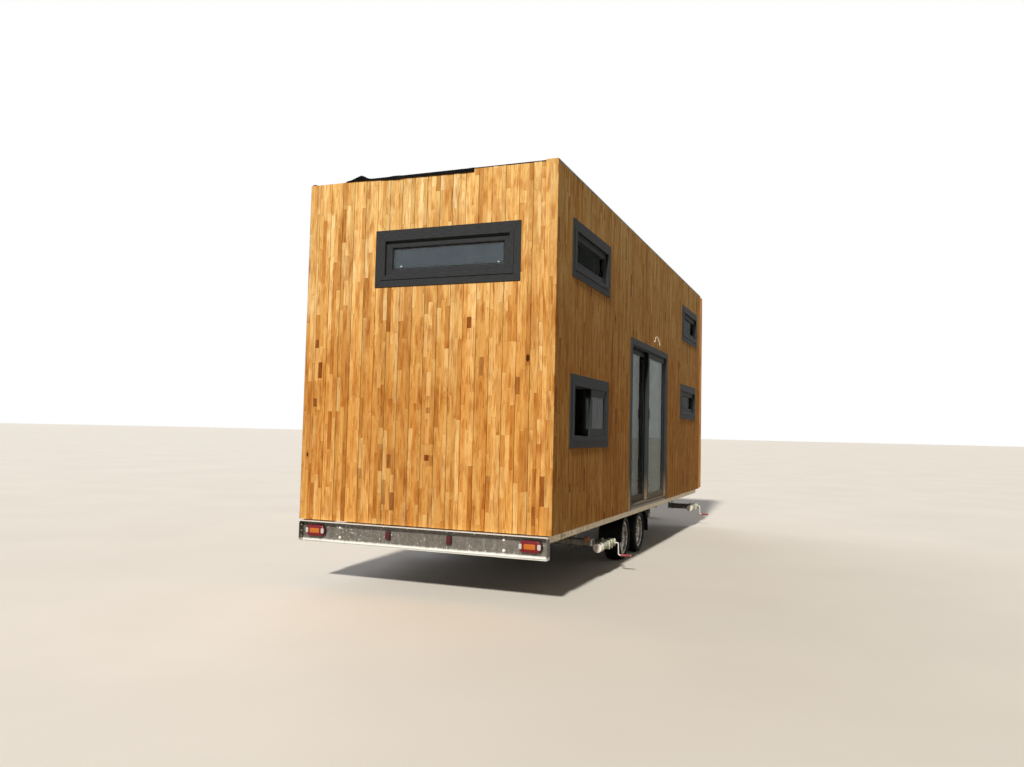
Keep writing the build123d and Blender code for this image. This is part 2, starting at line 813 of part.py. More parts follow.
def mudguards():
    """One long guard over the pair of wheels on each side, with a lip round its outer edge."""
    outer = guard_radius
    inner = guard_radius - guard_thickness
    rear_y = ahead(rear_wheel_at)
    front_y = ahead(front_wheel_at)
    z = wheel_radius

    def outline(radius):
        return (
            Line((rear_y - radius, z - 20), (rear_y - radius, z))
            + RadiusArc((rear_y - radius, z), (rear_y, z + radius), radius)
            + Line((rear_y, z + radius), (front_y, z + radius))
            + RadiusArc((front_y, z + radius), (front_y + radius, z), radius)
            + Line((front_y + radius, z), (front_y + radius, z - 20))
            + Line((front_y + radius, z - 20), (rear_y - radius, z - 20))
        )

    shell = Plane.YZ.offset(guard_inner_x) * (make_face(outline(outer)) - make_face(outline(inner)))
    guard = extrude(shell, guard_outer_x - guard_inner_x)
    rolled = make_face(outline(outer)) - make_face(outline(outer - guard_lip))
    lip = Plane.YZ.offset(guard_outer_x - guard_thickness) * rolled
    guard = guard + extrude(lip, guard_thickness)
    middle = (rear_wheel_at + front_wheel_at) / 2
    guard = guard + block(
        guard_inner_x + 30, guard_outer_x - 30, middle - 25, middle + 25, z + outer - 1, cross_bottom,
    )
    write("mudguards", both_sides(guard))


def lamps():
    """The oval tail lamps and small upright lamps on the rear beam, and the round markers below."""
    lens = []
    for side in (-1, 1):
        face = SlotOverall(tail_lamp_width, tail_lamp_height)
        tail = rear_side(side * tail_lamp_x, tail_lamp_z, rear_web_inset) * extrude(face, lamp_depth)
        lens.append(fillet(tail.edges().group_by(Axis.Y)[0], lamp_edge))
        small = RectangleRounded(small_lamp_width, small_lamp_height, 6)
        place = rear_side(side * small_lamp_x, tail_lamp_z, rear_web_inset)
        upright = place * extrude(small, small_lamp_depth)
        lens.append(fillet(upright.edges().group_by(Axis.Y)[0], lamp_edge / 2))
    write("rear_lamps", lens)
    marker = rear_side(marker_x, marker_z, low_beam_at - low_beam_width / 2 - marker_tab) * extrude(
        Circle(marker_radius), marker_depth,
    )
    marker = fillet(marker.edges().group_by(Axis.Y)[0], marker_depth / 2)
    write("side_markers", both_sides(marker))


def jack(side, foot_at, name):
    """One swivel jack, lying along the house, its foot to the rear. Returns the hanger that it turns on."""
    x = side * jack_x
    pivot_at = foot_at + pivot_to_foot
    head_at = pivot_at + pivot_to_head
    tube_start = foot_at + foot_thickness + leg_out_at_rest

    def across(distance):
        return Plane(origin=(x, ahead(distance), jack_height), x_dir=(1, 0, 0), z_dir=(0, 1, 0))

    head_from = head_at - 2 * head_thickness
    shape = across(tube_start) * extrude(Circle(jack_tube_radius), head_from - tube_start)
    collar = extrude(Circle(collar_radius), collar_length)
    shape = shape + across(tube_start) * chamfer(collar.edges().filter_by(GeomType.CIRCLE), 3)
    saddle = RectangleRounded(2 * saddle_half, 2 * saddle_half, saddle_corner)
    for distance in (pivot_at - saddle_from_pivot, pivot_at + saddle_from_pivot):
        shape = shape + across(distance - saddle_thickness / 2) * extrude(saddle, saddle_thickness)
    head = RectangleRounded(2 * head_half, 2 * head_half, saddle_corner)
    shape = shape + across(head_from) * extrude(head, head_thickness)
    cap = extrude(Circle(jack_tube_radius), head_thickness, taper=cap_taper)
    shape = shape + across(head_at - head_thickness) * cap
    boss = Plane(
        origin=(x, ahead(head_at - crank_from_end), jack_height), x_dir=(0, 1, 0), z_dir=(side, 0, 0),
    )
    shape = shape + boss * extrude(Circle(crank_boss_radius), jack_tube_radius + crank_boss_proud)
    inward = Plane(origin=(x, ahead(pivot_at), jack_height), x_dir=(0, 1, 0), z_dir=(-side, 0, 0))
    plate_from = jack_tube_radius + pivot_plate_gap
    hanger_from = plate_from + pivot_plate_thickness + running
    washer_from = hanger_from + pivot_plate_thickness + running
    plate = extrude(Circle(pivot_plate_radius), pivot_plate_thickness)
    shape = shape + inward * Pos(0, 0, plate_from) * plate
    stub_from = jack_leg_radius + jack_clearance + 2
    shape = shape + inward * Pos(0, 0, stub_from) * extrude(
        Circle(pivot_radius), washer_from + washer_thickness + 10 - stub_from,
    )
    shape = shape + inward * Pos(0, 0, washer_from) * extrude(Circle(washer_radius), washer_thickness)
    shape = shape - across(tube_start) * extrude(Circle(jack_leg_radius + jack_clearance), tube_bore)
    shaft_radius = crank_rod_radius + 2
    shape = shape - boss * Pos(0, 0, 12) * extrude(Circle(shaft_radius + 0.1), jack_tube_radius + 20)
    write(f"jack_tube_{name}", shape)
    foot = extrude(Circle(foot_radius), foot_thickness)
    foot = across(foot_at) * chamfer(foot.edges().group_by(Axis.Z)[0], 2)
    leg = across(foot_at + foot_thickness) * extrude(Circle(jack_leg_radius), leg_out_at_rest + leg_in_tube)
    write(f"jack_leg_{name}", leg + foot)
    start = boss.origin + boss.z_dir * 14
    elbow = boss.origin + boss.z_dir * (jack_tube_radius + crank_reach)
    low = elbow + Vector(0, 10, -crank_drop)
    end = low + Vector(side * 25, 0, 0)
    path = FilletPolyline(start, elbow, low, end, radius=16)
    rod = sweep(Plane(origin=start, z_dir=boss.z_dir) * Circle(crank_rod_radius), path=path)
    shaft = Plane(origin=start, z_dir=boss.z_dir) * extrude(Circle(shaft_radius), jack_tube_radius)
    grip = Plane(origin=end, z_dir=boss.z_dir) * extrude(Circle(grip_radius), grip_length)
    write(f"jack_crank_{name}", rod + shaft + fillet(grip.edges().filter_by(GeomType.CIRCLE), 4))
    return hanger(inward, hanger_from)


def hanger(inward, hanger_from):
    """What one jack turns on: a round plate on the end of a pipe held by two cheeks under the main beam."""
    beam_from = jack_x - main_beam_x - main_beam_width
    beam_to = jack_x - main_beam_x
    arm_from = hanger_from + pivot_plate_thickness
    plate = inward * Pos(0, 0, hanger_from) * extrude(Circle(hanger_plate_radius), pivot_plate_thickness)
    pipe = Circle(arm_radius) - Circle(arm_radius - arm_wall)
    arm = inward * Pos(0, 0, arm_from) * extrude(pipe, beam_to - arm_from)
    rise = main_beam_bottom - jack_height
    outline = make_hull([
        *Circle(hanger_eye).edges(),
        *(Pos(0, side_of(inward) * (rise - 5)) * Rectangle(2 * hanger_top_half, 10)).edges(),
    ]) - Circle(arm_radius - arm_wall)
    shape = plate + arm
    for cheek_at in (beam_from, beam_to - hanger_cheek):
        shape = shape + inward * Pos(0, 0, cheek_at) * extrude(outline, hanger_cheek)
    return shape - inward * extrude(Circle(pivot_radius + 0.1), arm_from + 1)


def side_of(plane):
    """1 where the plane's +Y points up, -1 where it points down."""
    return 1 if plane.y_dir.Z > 0 else -1


def jacks():
    """The four jacks and the hangers that they turn on."""
    hangers = []
    for side, side_name in ((1, "right"), (-1, "left")):
        for foot_at, end_name in ((rear_foot_at, "rear"), (front_foot_at, "front")):
            hangers.append(jack(side, foot_at, f"{end_name}_{side_name}"))
    write("jack_hangers", hangers)


def windows():
    """Frames that stand proud of their thin casings, sashes set back in them and the panes in the sashes."""
    frames = []
    sashes = []
    panes = []
    for plane, width, height, slides in window_places():
        casing = plane * window_ring(width, height, casing_width, casing_proud, 3)
        lining_width = width - 2 * casing_width + 2 * hole_lap - 2 * seat
        lining_height = height - 2 * casing_width + 2 * hole_lap - 2 * seat
        lining = plane * Pos(0, 0, -frame_depth) * window_ring(
            lining_width, lining_height, sash_frame_width - casing_width + hole_lap - seat,
            frame_depth + frame_proud, 6,
        )
        frames.append(casing + lining)
        inside_width = width - 2 * sash_frame_width
        inside_height = height - 2 * sash_frame_width
        sash_top = -sash_recess
        if slides:
            half = inside_width / 2
            outer_depth = sash_top - 2 - slider_depth
            inner_depth = outer_depth - slider_depth - slider_gap
            for shift, depth in ((half / 2, outer_depth), (half / 2 - slider_lag, inner_depth)):
                leaf = plane * Pos(shift, 0, depth) * window_ring(
                    half - 2 * seat, inside_height - 2 * seat, slider_width, slider_depth, 5,
                )
                sashes.append(leaf)
                border = 2 * slider_width + 4 * seat
                pane = plane * Pos(shift, 0, depth + slider_pane_inset) * extrude(
                    Rectangle(half - border, inside_height - border), slider_pane,
                )
                panes.append(pane)
            knob = plane * Pos(slider_width / 2, 0, sash_top - 2) * extrude(Circle(knob_radius), knob_reach)
            sashes.append(knob)
        else:
            sash = plane * Pos(0, 0, sash_top - sash_depth) * window_ring(
                inside_width - 2 * seat, inside_height - 2 * seat, sash_width, sash_depth, 9,
            )
            sashes.append(sash)
            border = 2 * sash_width + 4 * seat
            pane = plane * Pos(0, 0, sash_top - glass_recess - glass_thickness) * extrude(
                Rectangle(inside_width - border, inside_height - border), glass_thickness,
            )
            panes.append(pane)
    write("window_frames", frames)
    write("window_sashes", sashes)
    write("window_glass", panes)


def door():
    """The sliding door: its rear leaf is fixed on the inner track, its front leaf slides on the outer one."""
    door_end = door_at + door_width
    outer_face = half_width + door_proud
    depth = door_proud + board_thickness + frame_thickness
    inner_face = outer_face - depth
    opening_bottom = rail_top + sill_height
    opening_top = door_top - door_head_height
    frame = block(inner_face, outer_face, door_at + 1, door_end - 1, rail_top, door_top - 1)
    hole = block(
        inner_face - 1, outer_face + 1, door_at + jamb_width, door_end - jamb_width,
        opening_bottom, opening_top,
    )
    inner_track = inner_face + track_inset + leaf_thickness / 2
    outer_track = inner_track + leaf_thickness + leaf_gap
    frame = frame - hole
    for track in (inner_track, outer_track):
        rib = block(
            track - track_width / 2, track + track_width / 2, door_at + jamb_width, door_end - jamb_width,
            opening_bottom, opening_bottom + track_height,
        )
        frame = frame + rib
    write("door_frame", frame)
    sill = block(
        boards_inner + 1, outer_face - 2, door_at + 1, door_end - 1, boards_bottom + 5, rail_top - seat,
    )
    write("door_sill", sill)
    leaf_bottom = opening_bottom + track_height + running
    leaf_top = opening_top - leaf_side_gap
    middle = door_at + door_width / 2
    spans = {
        "door_fixed_leaf": (inner_track, door_at + jamb_width + running, middle + leaf_overlap / 2),
        "door_sliding_leaf": (outer_track, middle - leaf_overlap / 2, door_end - jamb_width - leaf_side_gap),
    }
    for name, (track, start, end) in spans.items():
        centre = right_side((start + end) / 2, (leaf_bottom + leaf_top) / 2, track - leaf_thickness / 2)
        width = end - start
        height = leaf_top - leaf_bottom
        leaf = centre * window_ring(width, height, stile_width, leaf_thickness, 5)
        pane_name = name.replace("_leaf", "_glass")
        border = 2 * stile_width + 2 * seat
        pane = centre * Pos(0, 0, (leaf_thickness - glass_thickness) / 2) * extrude(
            Rectangle(width - border, height - border), glass_thickness,
        )
        if name == "door_sliding_leaf":
            pull_at = start + stile_width / 2
            pull = extrude(RectangleRounded(pull_width, pull_length, pull_width / 3), pull_depth)
            pull = fillet(pull.edges().group_by(Axis.Z)[-1], pull_depth / 3)
            leaf = leaf + right_side(pull_at, pull_z, track + leaf_thickness / 2) * pull
        write(name, leaf)
        write(pane_name, pane)


def lamp_cable():
    """The bare end of lamp cable over the door, and the grommet that it comes out of."""
    y = ahead(cable_at)
    out = half_width + gland_depth
    route = [
        (out, y, cable_z), (out + 20, y, cable_z), (out + 40, y + 12, cable_z + 10),
        (out + 56, y + 34, cable_z - 8), (out + 58, y + 56, cable_z - 44), (out + 52, y + 72, cable_z - 88),
        (out + 44, y + 80, cable_z - 128),
    ]
    points = [Vector(*point) for point in route]
    radii = []
    for before, corner, after in zip(points, points[1:], points[2:]):
        turn = (corner - before).get_angle(after - corner)
        shorter = min((corner - before).length, (after - corner).length)
        radii.append(0.45 * shorter / math.tan(math.radians(turn) / 2))
    print("cable radii", [round(radius) for radius in radii])
    path = FilletPolyline(*points, radius=radii)
    start = Plane(origin=points[0], z_dir=(points[1] - points[0]).normalized())
    cable = sweep(start * Circle(cable_radius), path=path)
    section = math.pi * cable_radius**2
    print("cable length", round(path.length), "volume over section", round(cable.volume / section))
    write("lamp_cable", cable)
    grommet = right_side(cable_at, cable_z, half_width) * extrude(Circle(13), gland_depth)
    write("cable_gland", grommet)


os.makedirs("parts", exist_ok=True)
walls()
cladding()
roof()
floor()
corner_boards()
trailer()
rear_beam()
drawbar()
wheels()
mudguards()
lamps()
jacks()
windows()
door()
lamp_cable()
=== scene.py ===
"""A tiny house on a tandem-axle trailer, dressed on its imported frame.

Metres. +Y points to the drawbar, +X to the side with the door, and the ground is at zero.
"""
import math
import random

import bmesh
import bpy
from mathutils import Matrix, Vector


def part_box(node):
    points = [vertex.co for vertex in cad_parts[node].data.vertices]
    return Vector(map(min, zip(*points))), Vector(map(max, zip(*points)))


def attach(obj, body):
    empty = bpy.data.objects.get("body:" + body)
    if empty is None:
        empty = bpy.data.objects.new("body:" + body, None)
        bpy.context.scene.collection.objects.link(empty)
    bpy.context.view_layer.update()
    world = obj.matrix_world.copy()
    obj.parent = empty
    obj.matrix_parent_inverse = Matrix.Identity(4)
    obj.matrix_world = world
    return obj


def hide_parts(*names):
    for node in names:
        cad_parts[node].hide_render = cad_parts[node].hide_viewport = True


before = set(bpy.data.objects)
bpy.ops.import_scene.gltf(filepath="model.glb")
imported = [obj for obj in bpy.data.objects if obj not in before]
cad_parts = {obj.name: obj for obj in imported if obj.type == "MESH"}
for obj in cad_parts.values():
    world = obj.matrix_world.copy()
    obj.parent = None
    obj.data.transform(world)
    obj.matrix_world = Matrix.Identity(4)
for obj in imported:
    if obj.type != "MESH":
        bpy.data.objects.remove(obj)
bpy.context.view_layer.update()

rear_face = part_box("cladding")[0].y

# Viewpoint
# A person standing off the rear right corner with a short lens, held a little out of level.
# The eye is placed from the rear boards, the ground and the middle of the house.
sight = bpy.data.cameras.new("viewpoint")
sight.sensor_fit = "HORIZONTAL"
sight.sensor_width = 36
sight.lens = 29.17
eye = bpy.data.objects.new("viewpoint", sight)
bpy.context.scene.collection.objects.link(eye)
swung = Matrix.Rotation(math.radians(22.01), 4, "Z")
tipped = Matrix.Rotation(math.radians(90 + 3.36), 4, "X")
rolled = Matrix.Rotation(math.radians(1.30), 4, "Z")
eye.matrix_world = Matrix.Translation((3.508, rear_face - 6.530, 1.441)) @ swung @ tipped @ rolled
bpy.context.scene.camera = eye


# Lamp cable over the door
# A cut end of pale round lamp cable that comes out through the boards, waiting for its lamp.
# It leaves its grommet level, lifts a little and hangs down by its own weight.
cable_diameter = 0.009


def linear(sheen):
    """An sRGB hex colour as a linear colour with alpha."""
    channels = [int(sheen[i:i + 2], 16) / 255 for i in (1, 3, 5)]
    return [c / 12.92 if c <= 0.04045 else ((c + 0.055) / 1.055) ** 2.4 for c in channels] + [1]


def link(node, inputs):
    """Sets a node's inputs, or links them to sockets or to the first live output of other nodes."""
    for name, value in inputs.items():
        if isinstance(value, bpy.types.Node):
            value = next(socket for socket in value.outputs if socket.enabled)
        if isinstance(value, bpy.types.NodeSocket):
            node.id_data.links.new(value, node.inputs[name])
        else:
            node.inputs[name].default_value = value
    return node


def add(tree, kind, inputs=None, stops=(), **settings):
    """Adds a node with its settings, its inputs set or linked, and a ramp's (position, hex colour) stops."""
    node = tree.nodes.new(kind)
    for name, value in settings.items():
        setattr(node, name, value)
    for position, sheen in stops[1:-1]:
        node.color_ramp.elements.new(position)
    for index, (position, sheen) in enumerate(stops):
        node.color_ramp.elements[index].position = position
        node.color_ramp.elements[index].color = linear(sheen)
    return link(node, inputs or {})


def finish(name, **inputs):
    """A new material, its node tree, the place of a point on the object, and its one surface shader."""
    material = bpy.data.materials.new(name)
    material.use_nodes = True
    tree = material.node_tree
    tree.nodes.clear()
    sockets = {key.replace("_", " "): value for key, value in inputs.items()}
    shader = add(tree, "ShaderNodeBsdfPrincipled", sockets)
    add(tree, "ShaderNodeOutputMaterial", {"Surface": shader})
    return material, tree, add(tree, "ShaderNodeTexCoord").outputs["Object"], shader


def coat(material, *pieces):
    """Gives pieces one material all over."""
    for piece in pieces:
        piece.data.materials.clear()
        piece.data.materials.append(material)


# Soft extruded PVC has an even satin sheen, and handling has left it a little grey
cable_pvc, tree, place, shader = finish("cable_pvc_extruded", Roughness=0.42, IOR=1.54)
grime = add(tree, "ShaderNodeTexNoise", {"Vector": place, "Scale": 60, "Detail": 4})
sheath = add(tree, "ShaderNodeValToRGB", {"Fac": grime}, [(0.35, "#EADFC8"), (0.7, "#FFFAEE")])
link(shader, {"Base Color": sheath})

gland_low, gland_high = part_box("cable_gland")
mouth = Vector((gland_high.x, (gland_low.y + gland_high.y) / 2, (gland_low.z + gland_high.z) / 2))
route = [
    (0, 0, 0), (0.009, -0.0018, 0.0018), (0.0072, -0.0271, 0.0198), (0.0126, -0.0307, 0.0505),
    (0.0307, -0.0054, 0.0559), (0.0397, 0.0126, 0.018), (0.0505, 0.0271, -0.018), (0.0523, 0.0343, -0.0505),
]
line = bpy.data.curves.new("lamp_cable_end", "CURVE")
line.dimensions = "3D"
line.bevel_depth = cable_diameter / 2
line.bevel_resolution = 5
line.use_fill_caps = True
run = line.splines.new("NURBS")
run.points.add(len(route) - 1)
for point, offset in zip(run.points, route):
    point.co = (mouth + Vector(offset)).to_4d()
run.order_u = 3
run.use_endpoint_u = True
cable = bpy.data.objects.new("lamp_cable_end", line)
bpy.context.scene.collection.objects.link(cable)
line.materials.append(cable_pvc)
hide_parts("lamp_cable")
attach(cable, "house")
coat(cable_pvc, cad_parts["cable_gland"])


# Cladding boards
# Upright boards, each glued up from three finger-jointed softwood lamellas, planed, oiled and screwed on.
# A narrow gap, with painted shade along the board edges beside it, leaves a thin shadow line between neighbours,
# and their tops and feet are cut by eye.
board_pitch = 0.1275
board_depth = 0.020
board_gap = 0.0022
corner_board = 0.083
corner_strip = 0.026
last_strip = 0.037
last_board = 0.113
lamella = board_pitch / 3
# The boards at both ends of the house stop this far below the top, under the roof sheet
end_drop = 0.016
top_play = 0.004
foot_play = 0.002
side_clearance = 0.002
window_overlap = 0.0635
through = 0.1

oiled_softwood, tree, place, shader = finish(
    "oiled_softwood_lamellas", Roughness=0.75, Specular_IOR_Level=0.08,
)
# Each lamella is a chain of pieces with their own tone: U counts lamellas across the wall, V is metres up it
uv = add(tree, "ShaderNodeUVMap", uv_map="boards")
spread = add(tree, "ShaderNodeSeparateXYZ", {"Vector": uv})
across, up = spread.outputs["X"], spread.outputs["Y"]
strip = add(tree, "ShaderNodeMath", {0: across}, operation="FLOOR")
strip_dice = add(tree, "ShaderNodeTexWhiteNoise", {"W": strip}, noise_dimensions="1D").outputs["Color"]
strip_colour = add(tree, "ShaderNodeSeparateColor", {"Color": strip_dice})
length = add(
    tree, "ShaderNodeMapRange", {"Value": strip_colour.outputs["Red"], "To Min": 0.18, "To Max": 1.05},
)
along = add(tree, "ShaderNodeMath", {0: up, 1: length}, operation="DIVIDE")
start = strip_colour.outputs["Green"]
shifted = add(tree, "ShaderNodeMath", {0: start, 1: 9.0, 2: along}, operation="MULTIPLY_ADD")
piece_number = add(tree, "ShaderNodeMath", {0: shifted}, operation="FLOOR")
piece_id = add(tree, "ShaderNodeCombineXYZ", {"X": strip, "Y": piece_number})
piece_value = add(tree, "ShaderNodeTexWhiteNoise", {"Vector": piece_id}, noise_dimensions="3D")
# Sapwood is pale straw, most pieces are honey, and a few of heartwood are brown
honey = add(tree, "ShaderNodeValToRGB", {"Fac": piece_value}, [
    (0.0, "#FFDB9A"), (0.14, "#FBCF88"), (0.50, "#F3C173"), (0.88, "#E9B164"), (1.0, "#CF9148"),
])
# Here and there a short dark offcut of heartwood was glued in
short_number = add(tree, "ShaderNodeMath", {0: shifted, 1: 4.0}, operation="MULTIPLY")
short_piece = add(tree, "ShaderNodeMath", {0: short_number}, operation="FLOOR")
short_id = add(tree, "ShaderNodeCombineXYZ", {"X": strip, "Y": short_piece, "Z": 7.0})
short_dice = add(tree, "ShaderNodeTexWhiteNoise", {"Vector": short_id}, noise_dimensions="3D")
dark_piece = add(tree, "ShaderNodeMapRange", {"Value": short_dice, "From Min": 0.988})
dark_share = add(tree, "ShaderNodeMath", {0: dark_piece, 1: 0.5}, operation="POWER")
wood = add(tree, "ShaderNodeMix", {"Factor": dark_share, 6: honey, 7: linear("#9A5E26")}, data_type="RGBA")
# Growth rings run up each piece as soft streaks, 10 to 20 mm wide and a hand long
seed = add(tree, "ShaderNodeMath", {0: piece_value, 1: 173.0}, operation="MULTIPLY")
grain_place = add(tree, "ShaderNodeCombineXYZ", {"X": across, "Y": up, "Z": seed})
stretched = add(tree, "ShaderNodeMapping", {"Vector": grain_place, "Scale": (1.3, 2.0, 1.0)})
rings = add(
    tree, "ShaderNodeTexNoise",
    {"Vector": stretched, "Scale": 2.2, "Detail": 5, "Roughness": 0.62, "Distortion": 0.9},
)
ring_tone = add(tree, "ShaderNodeValToRGB", {"Fac": rings}, [
    (0.30, "#AC763A"), (0.44, "#E8C993"), (0.54, "#FFFFFF"), (0.72, "#E4C289"),
])
# Browner patches as big as a hand, where the oil has soaked in
soak_place = add(tree, "ShaderNodeMapping", {"Vector": grain_place, "Scale": (0.45, 3.2, 1.0)})
soak = add(tree, "ShaderNodeTexNoise", {"Vector": soak_place, "Scale": 1.0, "Detail": 3, "Distortion": 0.4})
soak_tone = add(tree, "ShaderNodeValToRGB", {"Fac": soak}, [(0.30, "#C08B50"), (0.52, "#FFFFFF")])
# Fine fibre, drawn a millimetre and a half wide
fibre_place = add(tree, "ShaderNodeMapping", {"Vector": grain_place, "Scale": (26.0, 3.0, 1.0)})
fibre = add(tree, "ShaderNodeTexNoise", {"Vector": fibre_place, "Scale": 1.0, "Detail": 3, "Roughness": 0.7})
fibre_tone = add(tree, "ShaderNodeValToRGB", {"Fac": fibre}, [(0.3, "#CDB28C"), (0.65, "#FFFFFF")])
for share, tone in ((0.75, ring_tone), (0.6, soak_tone), (0.35, fibre_tone)):
    wood = add(
        tree, "ShaderNodeMix", {"Factor": share, 6: wood, 7: tone}, data_type="RGBA", blend_type="MULTIPLY",
    )
# Knots up to 40 mm across and twice as long, cut off where a lamella ends, each in a brown halo
knot_across = add(tree, "ShaderNodeMath", {0: across, 1: 0.25}, operation="MULTIPLY")
knot_start = add(tree, "ShaderNodeMath", {0: strip_colour.outputs["Blue"], 1: 40.0}, operation="MULTIPLY")
knot_along = add(tree, "ShaderNodeMath", {0: up, 1: 2.9, 2: knot_start}, operation="MULTIPLY_ADD")
knot_place = add(tree, "ShaderNodeCombineXYZ", {"X": knot_across, "Y": knot_along})
knots = add(
    tree, "ShaderNodeTexVoronoi", {"Vector": knot_place, "Scale": 1.0, "Randomness": 0.9}, feature="F1",
)
knot_dice = add(tree, "ShaderNodeSeparateColor", {"Color": knots.outputs["Color"]})
knot_size = add(
    tree, "ShaderNodeMapRange",
    {"Value": knot_dice.outputs["Red"], "From Min": 0.36, "From Max": 1.0, "To Min": -0.10, "To Max": 0.115},
)
knot_edge = add(tree, "ShaderNodeMath", {0: knot_size, 1: knots.outputs["Distance"]}, operation="SUBTRACT")
halo_mask = add(
    tree, "ShaderNodeMapRange", {"Value": knot_edge, "From Min": -0.085, "From Max": 0.0, "To Max": 0.75},
)
knot_mask = add(tree, "ShaderNodeMapRange", {"Value": knot_edge, "From Max": 0.012})
for share, sheen in ((halo_mask, "#B87832"), (knot_mask, "#55290E")):
    wood = add(tree, "ShaderNodeMix", {"Factor": share, 6: wood, 7: linear(sheen)}, data_type="RGBA")
# Glue lines between lamellas and the butt joints between pieces read as hair lines
edge_u = add(tree, "ShaderNodeMath", {0: across, 1: 1.0}, operation="PINGPONG")
glue = add(tree, "ShaderNodeMapRange", {"Value": edge_u, "From Max": 0.05, "To Min": 0.90})
butt_v = add(tree, "ShaderNodeMath", {0: shifted, 1: 1.0}, operation="PINGPONG")
butt = add(tree, "ShaderNodeMapRange", {"Value": butt_v, "From Max": 0.008, "To Min": 0.78})
# Painted shade darkens each board within 5 mm of its long edges, standing in for the shadow in the gap
edge_board = add(tree, "ShaderNodeMath", {0: across, 1: 1.5}, operation="PINGPONG")
painted_gap_shade = add(tree, "ShaderNodeMapRange", {"Value": edge_board, "From Max": 0.11, "To Min": 0.34})
joints = add(tree, "ShaderNodeMapRange", {"Value": strip_colour.outputs["Blue"], "To Min": 0.80})
for shade in (glue, butt, painted_gap_shade):
    joints = add(tree, "ShaderNodeMath", {0: joints, 1: shade}, operation="MULTIPLY")
# Rain and handling have dulled the oil in broad clouds, and the wood is painted paler high on the walls as painted
# light
clouds = add(tree, "ShaderNodeTexNoise", {"Vector": place, "Scale": 1.3, "Detail": 3})
dulled = add(tree, "ShaderNodeValToRGB", {"Fac": clouds}, [(0.3, "#E6D6C0"), (0.62, "#FFFFFF")])
height = add(tree, "ShaderNodeSeparateXYZ", {"Vector": place}).outputs["Z"]
painted_light_high_up = add(tree, "ShaderNodeMapRange", {"Value": height, "From Min": 1.8, "From Max": 3.5, "To Max": 0.9})
for share, tone, how in (
    (1.0, joints, "MULTIPLY"), (0.4, dulled, "MULTIPLY"), (painted_light_high_up, linear("#E5CEAF"), "DIVIDE"),
):
    wood = add(tree, "ShaderNodeMix", {"Factor": share, 6: wood, 7: tone}, data_type="RGBA", blend_type=how)
relief = add(tree, "ShaderNodeBump", {"Height": fibre, "Strength": 0.25, "Distance": 0.0006})
link(shader, {"Base Color": wood, "Normal": relief})


def settle(name):
    """Names the new primitive and sets its place and size in its mesh."""
    piece = bpy.context.object
    piece.name = name
    bpy.ops.object.transform_apply(location=True, rotation=True, scale=True)
    return piece


def cuboid(name, low, high):
    """A cube primitive between two corners, ready for edit mode, its object at the origin."""
    bpy.ops.object.select_all(action="DESELECT")
    centre = (Vector(low) + Vector(high)) / 2
    bpy.ops.mesh.primitive_cube_add(size=1, location=centre, scale=Vector(high) - Vector(low))
    return settle(name)


def apply_modifiers(piece):
    """Applies all of a piece's modifiers in order."""
    bpy.ops.object.select_all(action="DESELECT")
    piece.select_set(True)
    bpy.context.view_layer.objects.active = piece
    for modifier in list(piece.modifiers):
        bpy.ops.object.modifier_apply(modifier=modifier.name)


def ease(piece, width, segments=2):
    """Rounds a piece's edges that are sharper than 40 degrees."""
    bevel = piece.modifiers.new("eased", "BEVEL")
    bevel.width = width
    bevel.segments = segments
    bevel.limit_method = "ANGLE"
    bevel.angle_limit = math.radians(40)
    apply_modifiers(piece)
    return piece


def join(name, pieces):
    """Joins pieces into one object with this name."""
    bpy.ops.object.select_all(action="DESELECT")
    for piece in pieces:
        piece.select_set(True)
    bpy.context.view_layer.objects.active = pieces[0]
    if len(pieces) > 1:
        bpy.ops.object.join()
    joined_piece = bpy.context.object
    joined_piece.name = name
    return joined_piece


def copy_to(piece, matrix, name="copy"):
    """A copy of a piece with its own mesh, moved there in its mesh."""
    twin = piece.copy()
    twin.data = piece.data.copy()
    twin.name = name
    bpy.context.scene.collection.objects.link(twin)
    twin.data.transform(matrix)
    return twin


def drop(*pieces):
    """Deletes the pieces that only served as patterns or cutters."""
    for piece in pieces:
        bpy.data.meshes.remove(piece.data)


def reach_of(points):
    """The lowest and highest corner of the box round some mesh points."""
    return [Vector([pick(point.co[i] for point in points) for i in range(3)]) for pick in (min, max)]


def trim(piece, cutter):
    """Cuts the cutter's shape out of a piece, if they meet, and deletes the cutter."""
    low, high = reach_of(piece.data.vertices)
    inside, outside = reach_of(cutter.data.vertices)
    if all(inside[i] < high[i] and low[i] < outside[i] for i in range(3)):
        cut = piece.modifiers.new("cut", "BOOLEAN")
        cut.operation = "DIFFERENCE"
        cut.solver = "EXACT"
        cut.object = cutter
        apply_modifiers(piece)
    drop(cutter)


def solids_of(node):
    """The lowest and highest corner of each separate solid in a CAD node."""
    copy = bmesh.new()
    copy.from_mesh(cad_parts[node].data)
    bmesh.ops.remove_doubles(copy, verts=copy.verts, dist=0.00001)
    boxes = []
    waiting = set(copy.verts)
    while waiting:
        reached = [waiting.pop()]
        solid = list(reached)
        while reached:
            for edge in reached.pop().link_edges:
                for vert in waiting.intersection(edge.verts):
                    waiting.discard(vert)
                    reached.append(vert)
                    solid.append(vert)
        boxes.append(reach_of(solid))
    copy.free()
    return sorted(boxes, key=lambda pair: tuple(pair[0]))


def new_chart(piece, name):
    """Takes off the UV layers that a piece has and gives it one with this name."""
    for layer in piece.data.uv_layers[:]:
        piece.data.uv_layers.remove(layer)
    return piece.data.uv_layers.new(name=name)


window_boxes = solids_of("window_frames")
door_low, door_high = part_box("door_frame")
clad_low, clad_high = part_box("cladding")
coping_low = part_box("coping")[0]
chance = random.Random(41)

board_half = (board_pitch - board_gap) / 2
board = cuboid("board", (-board_half, -board_depth, 0), (board_half, 0, 1))


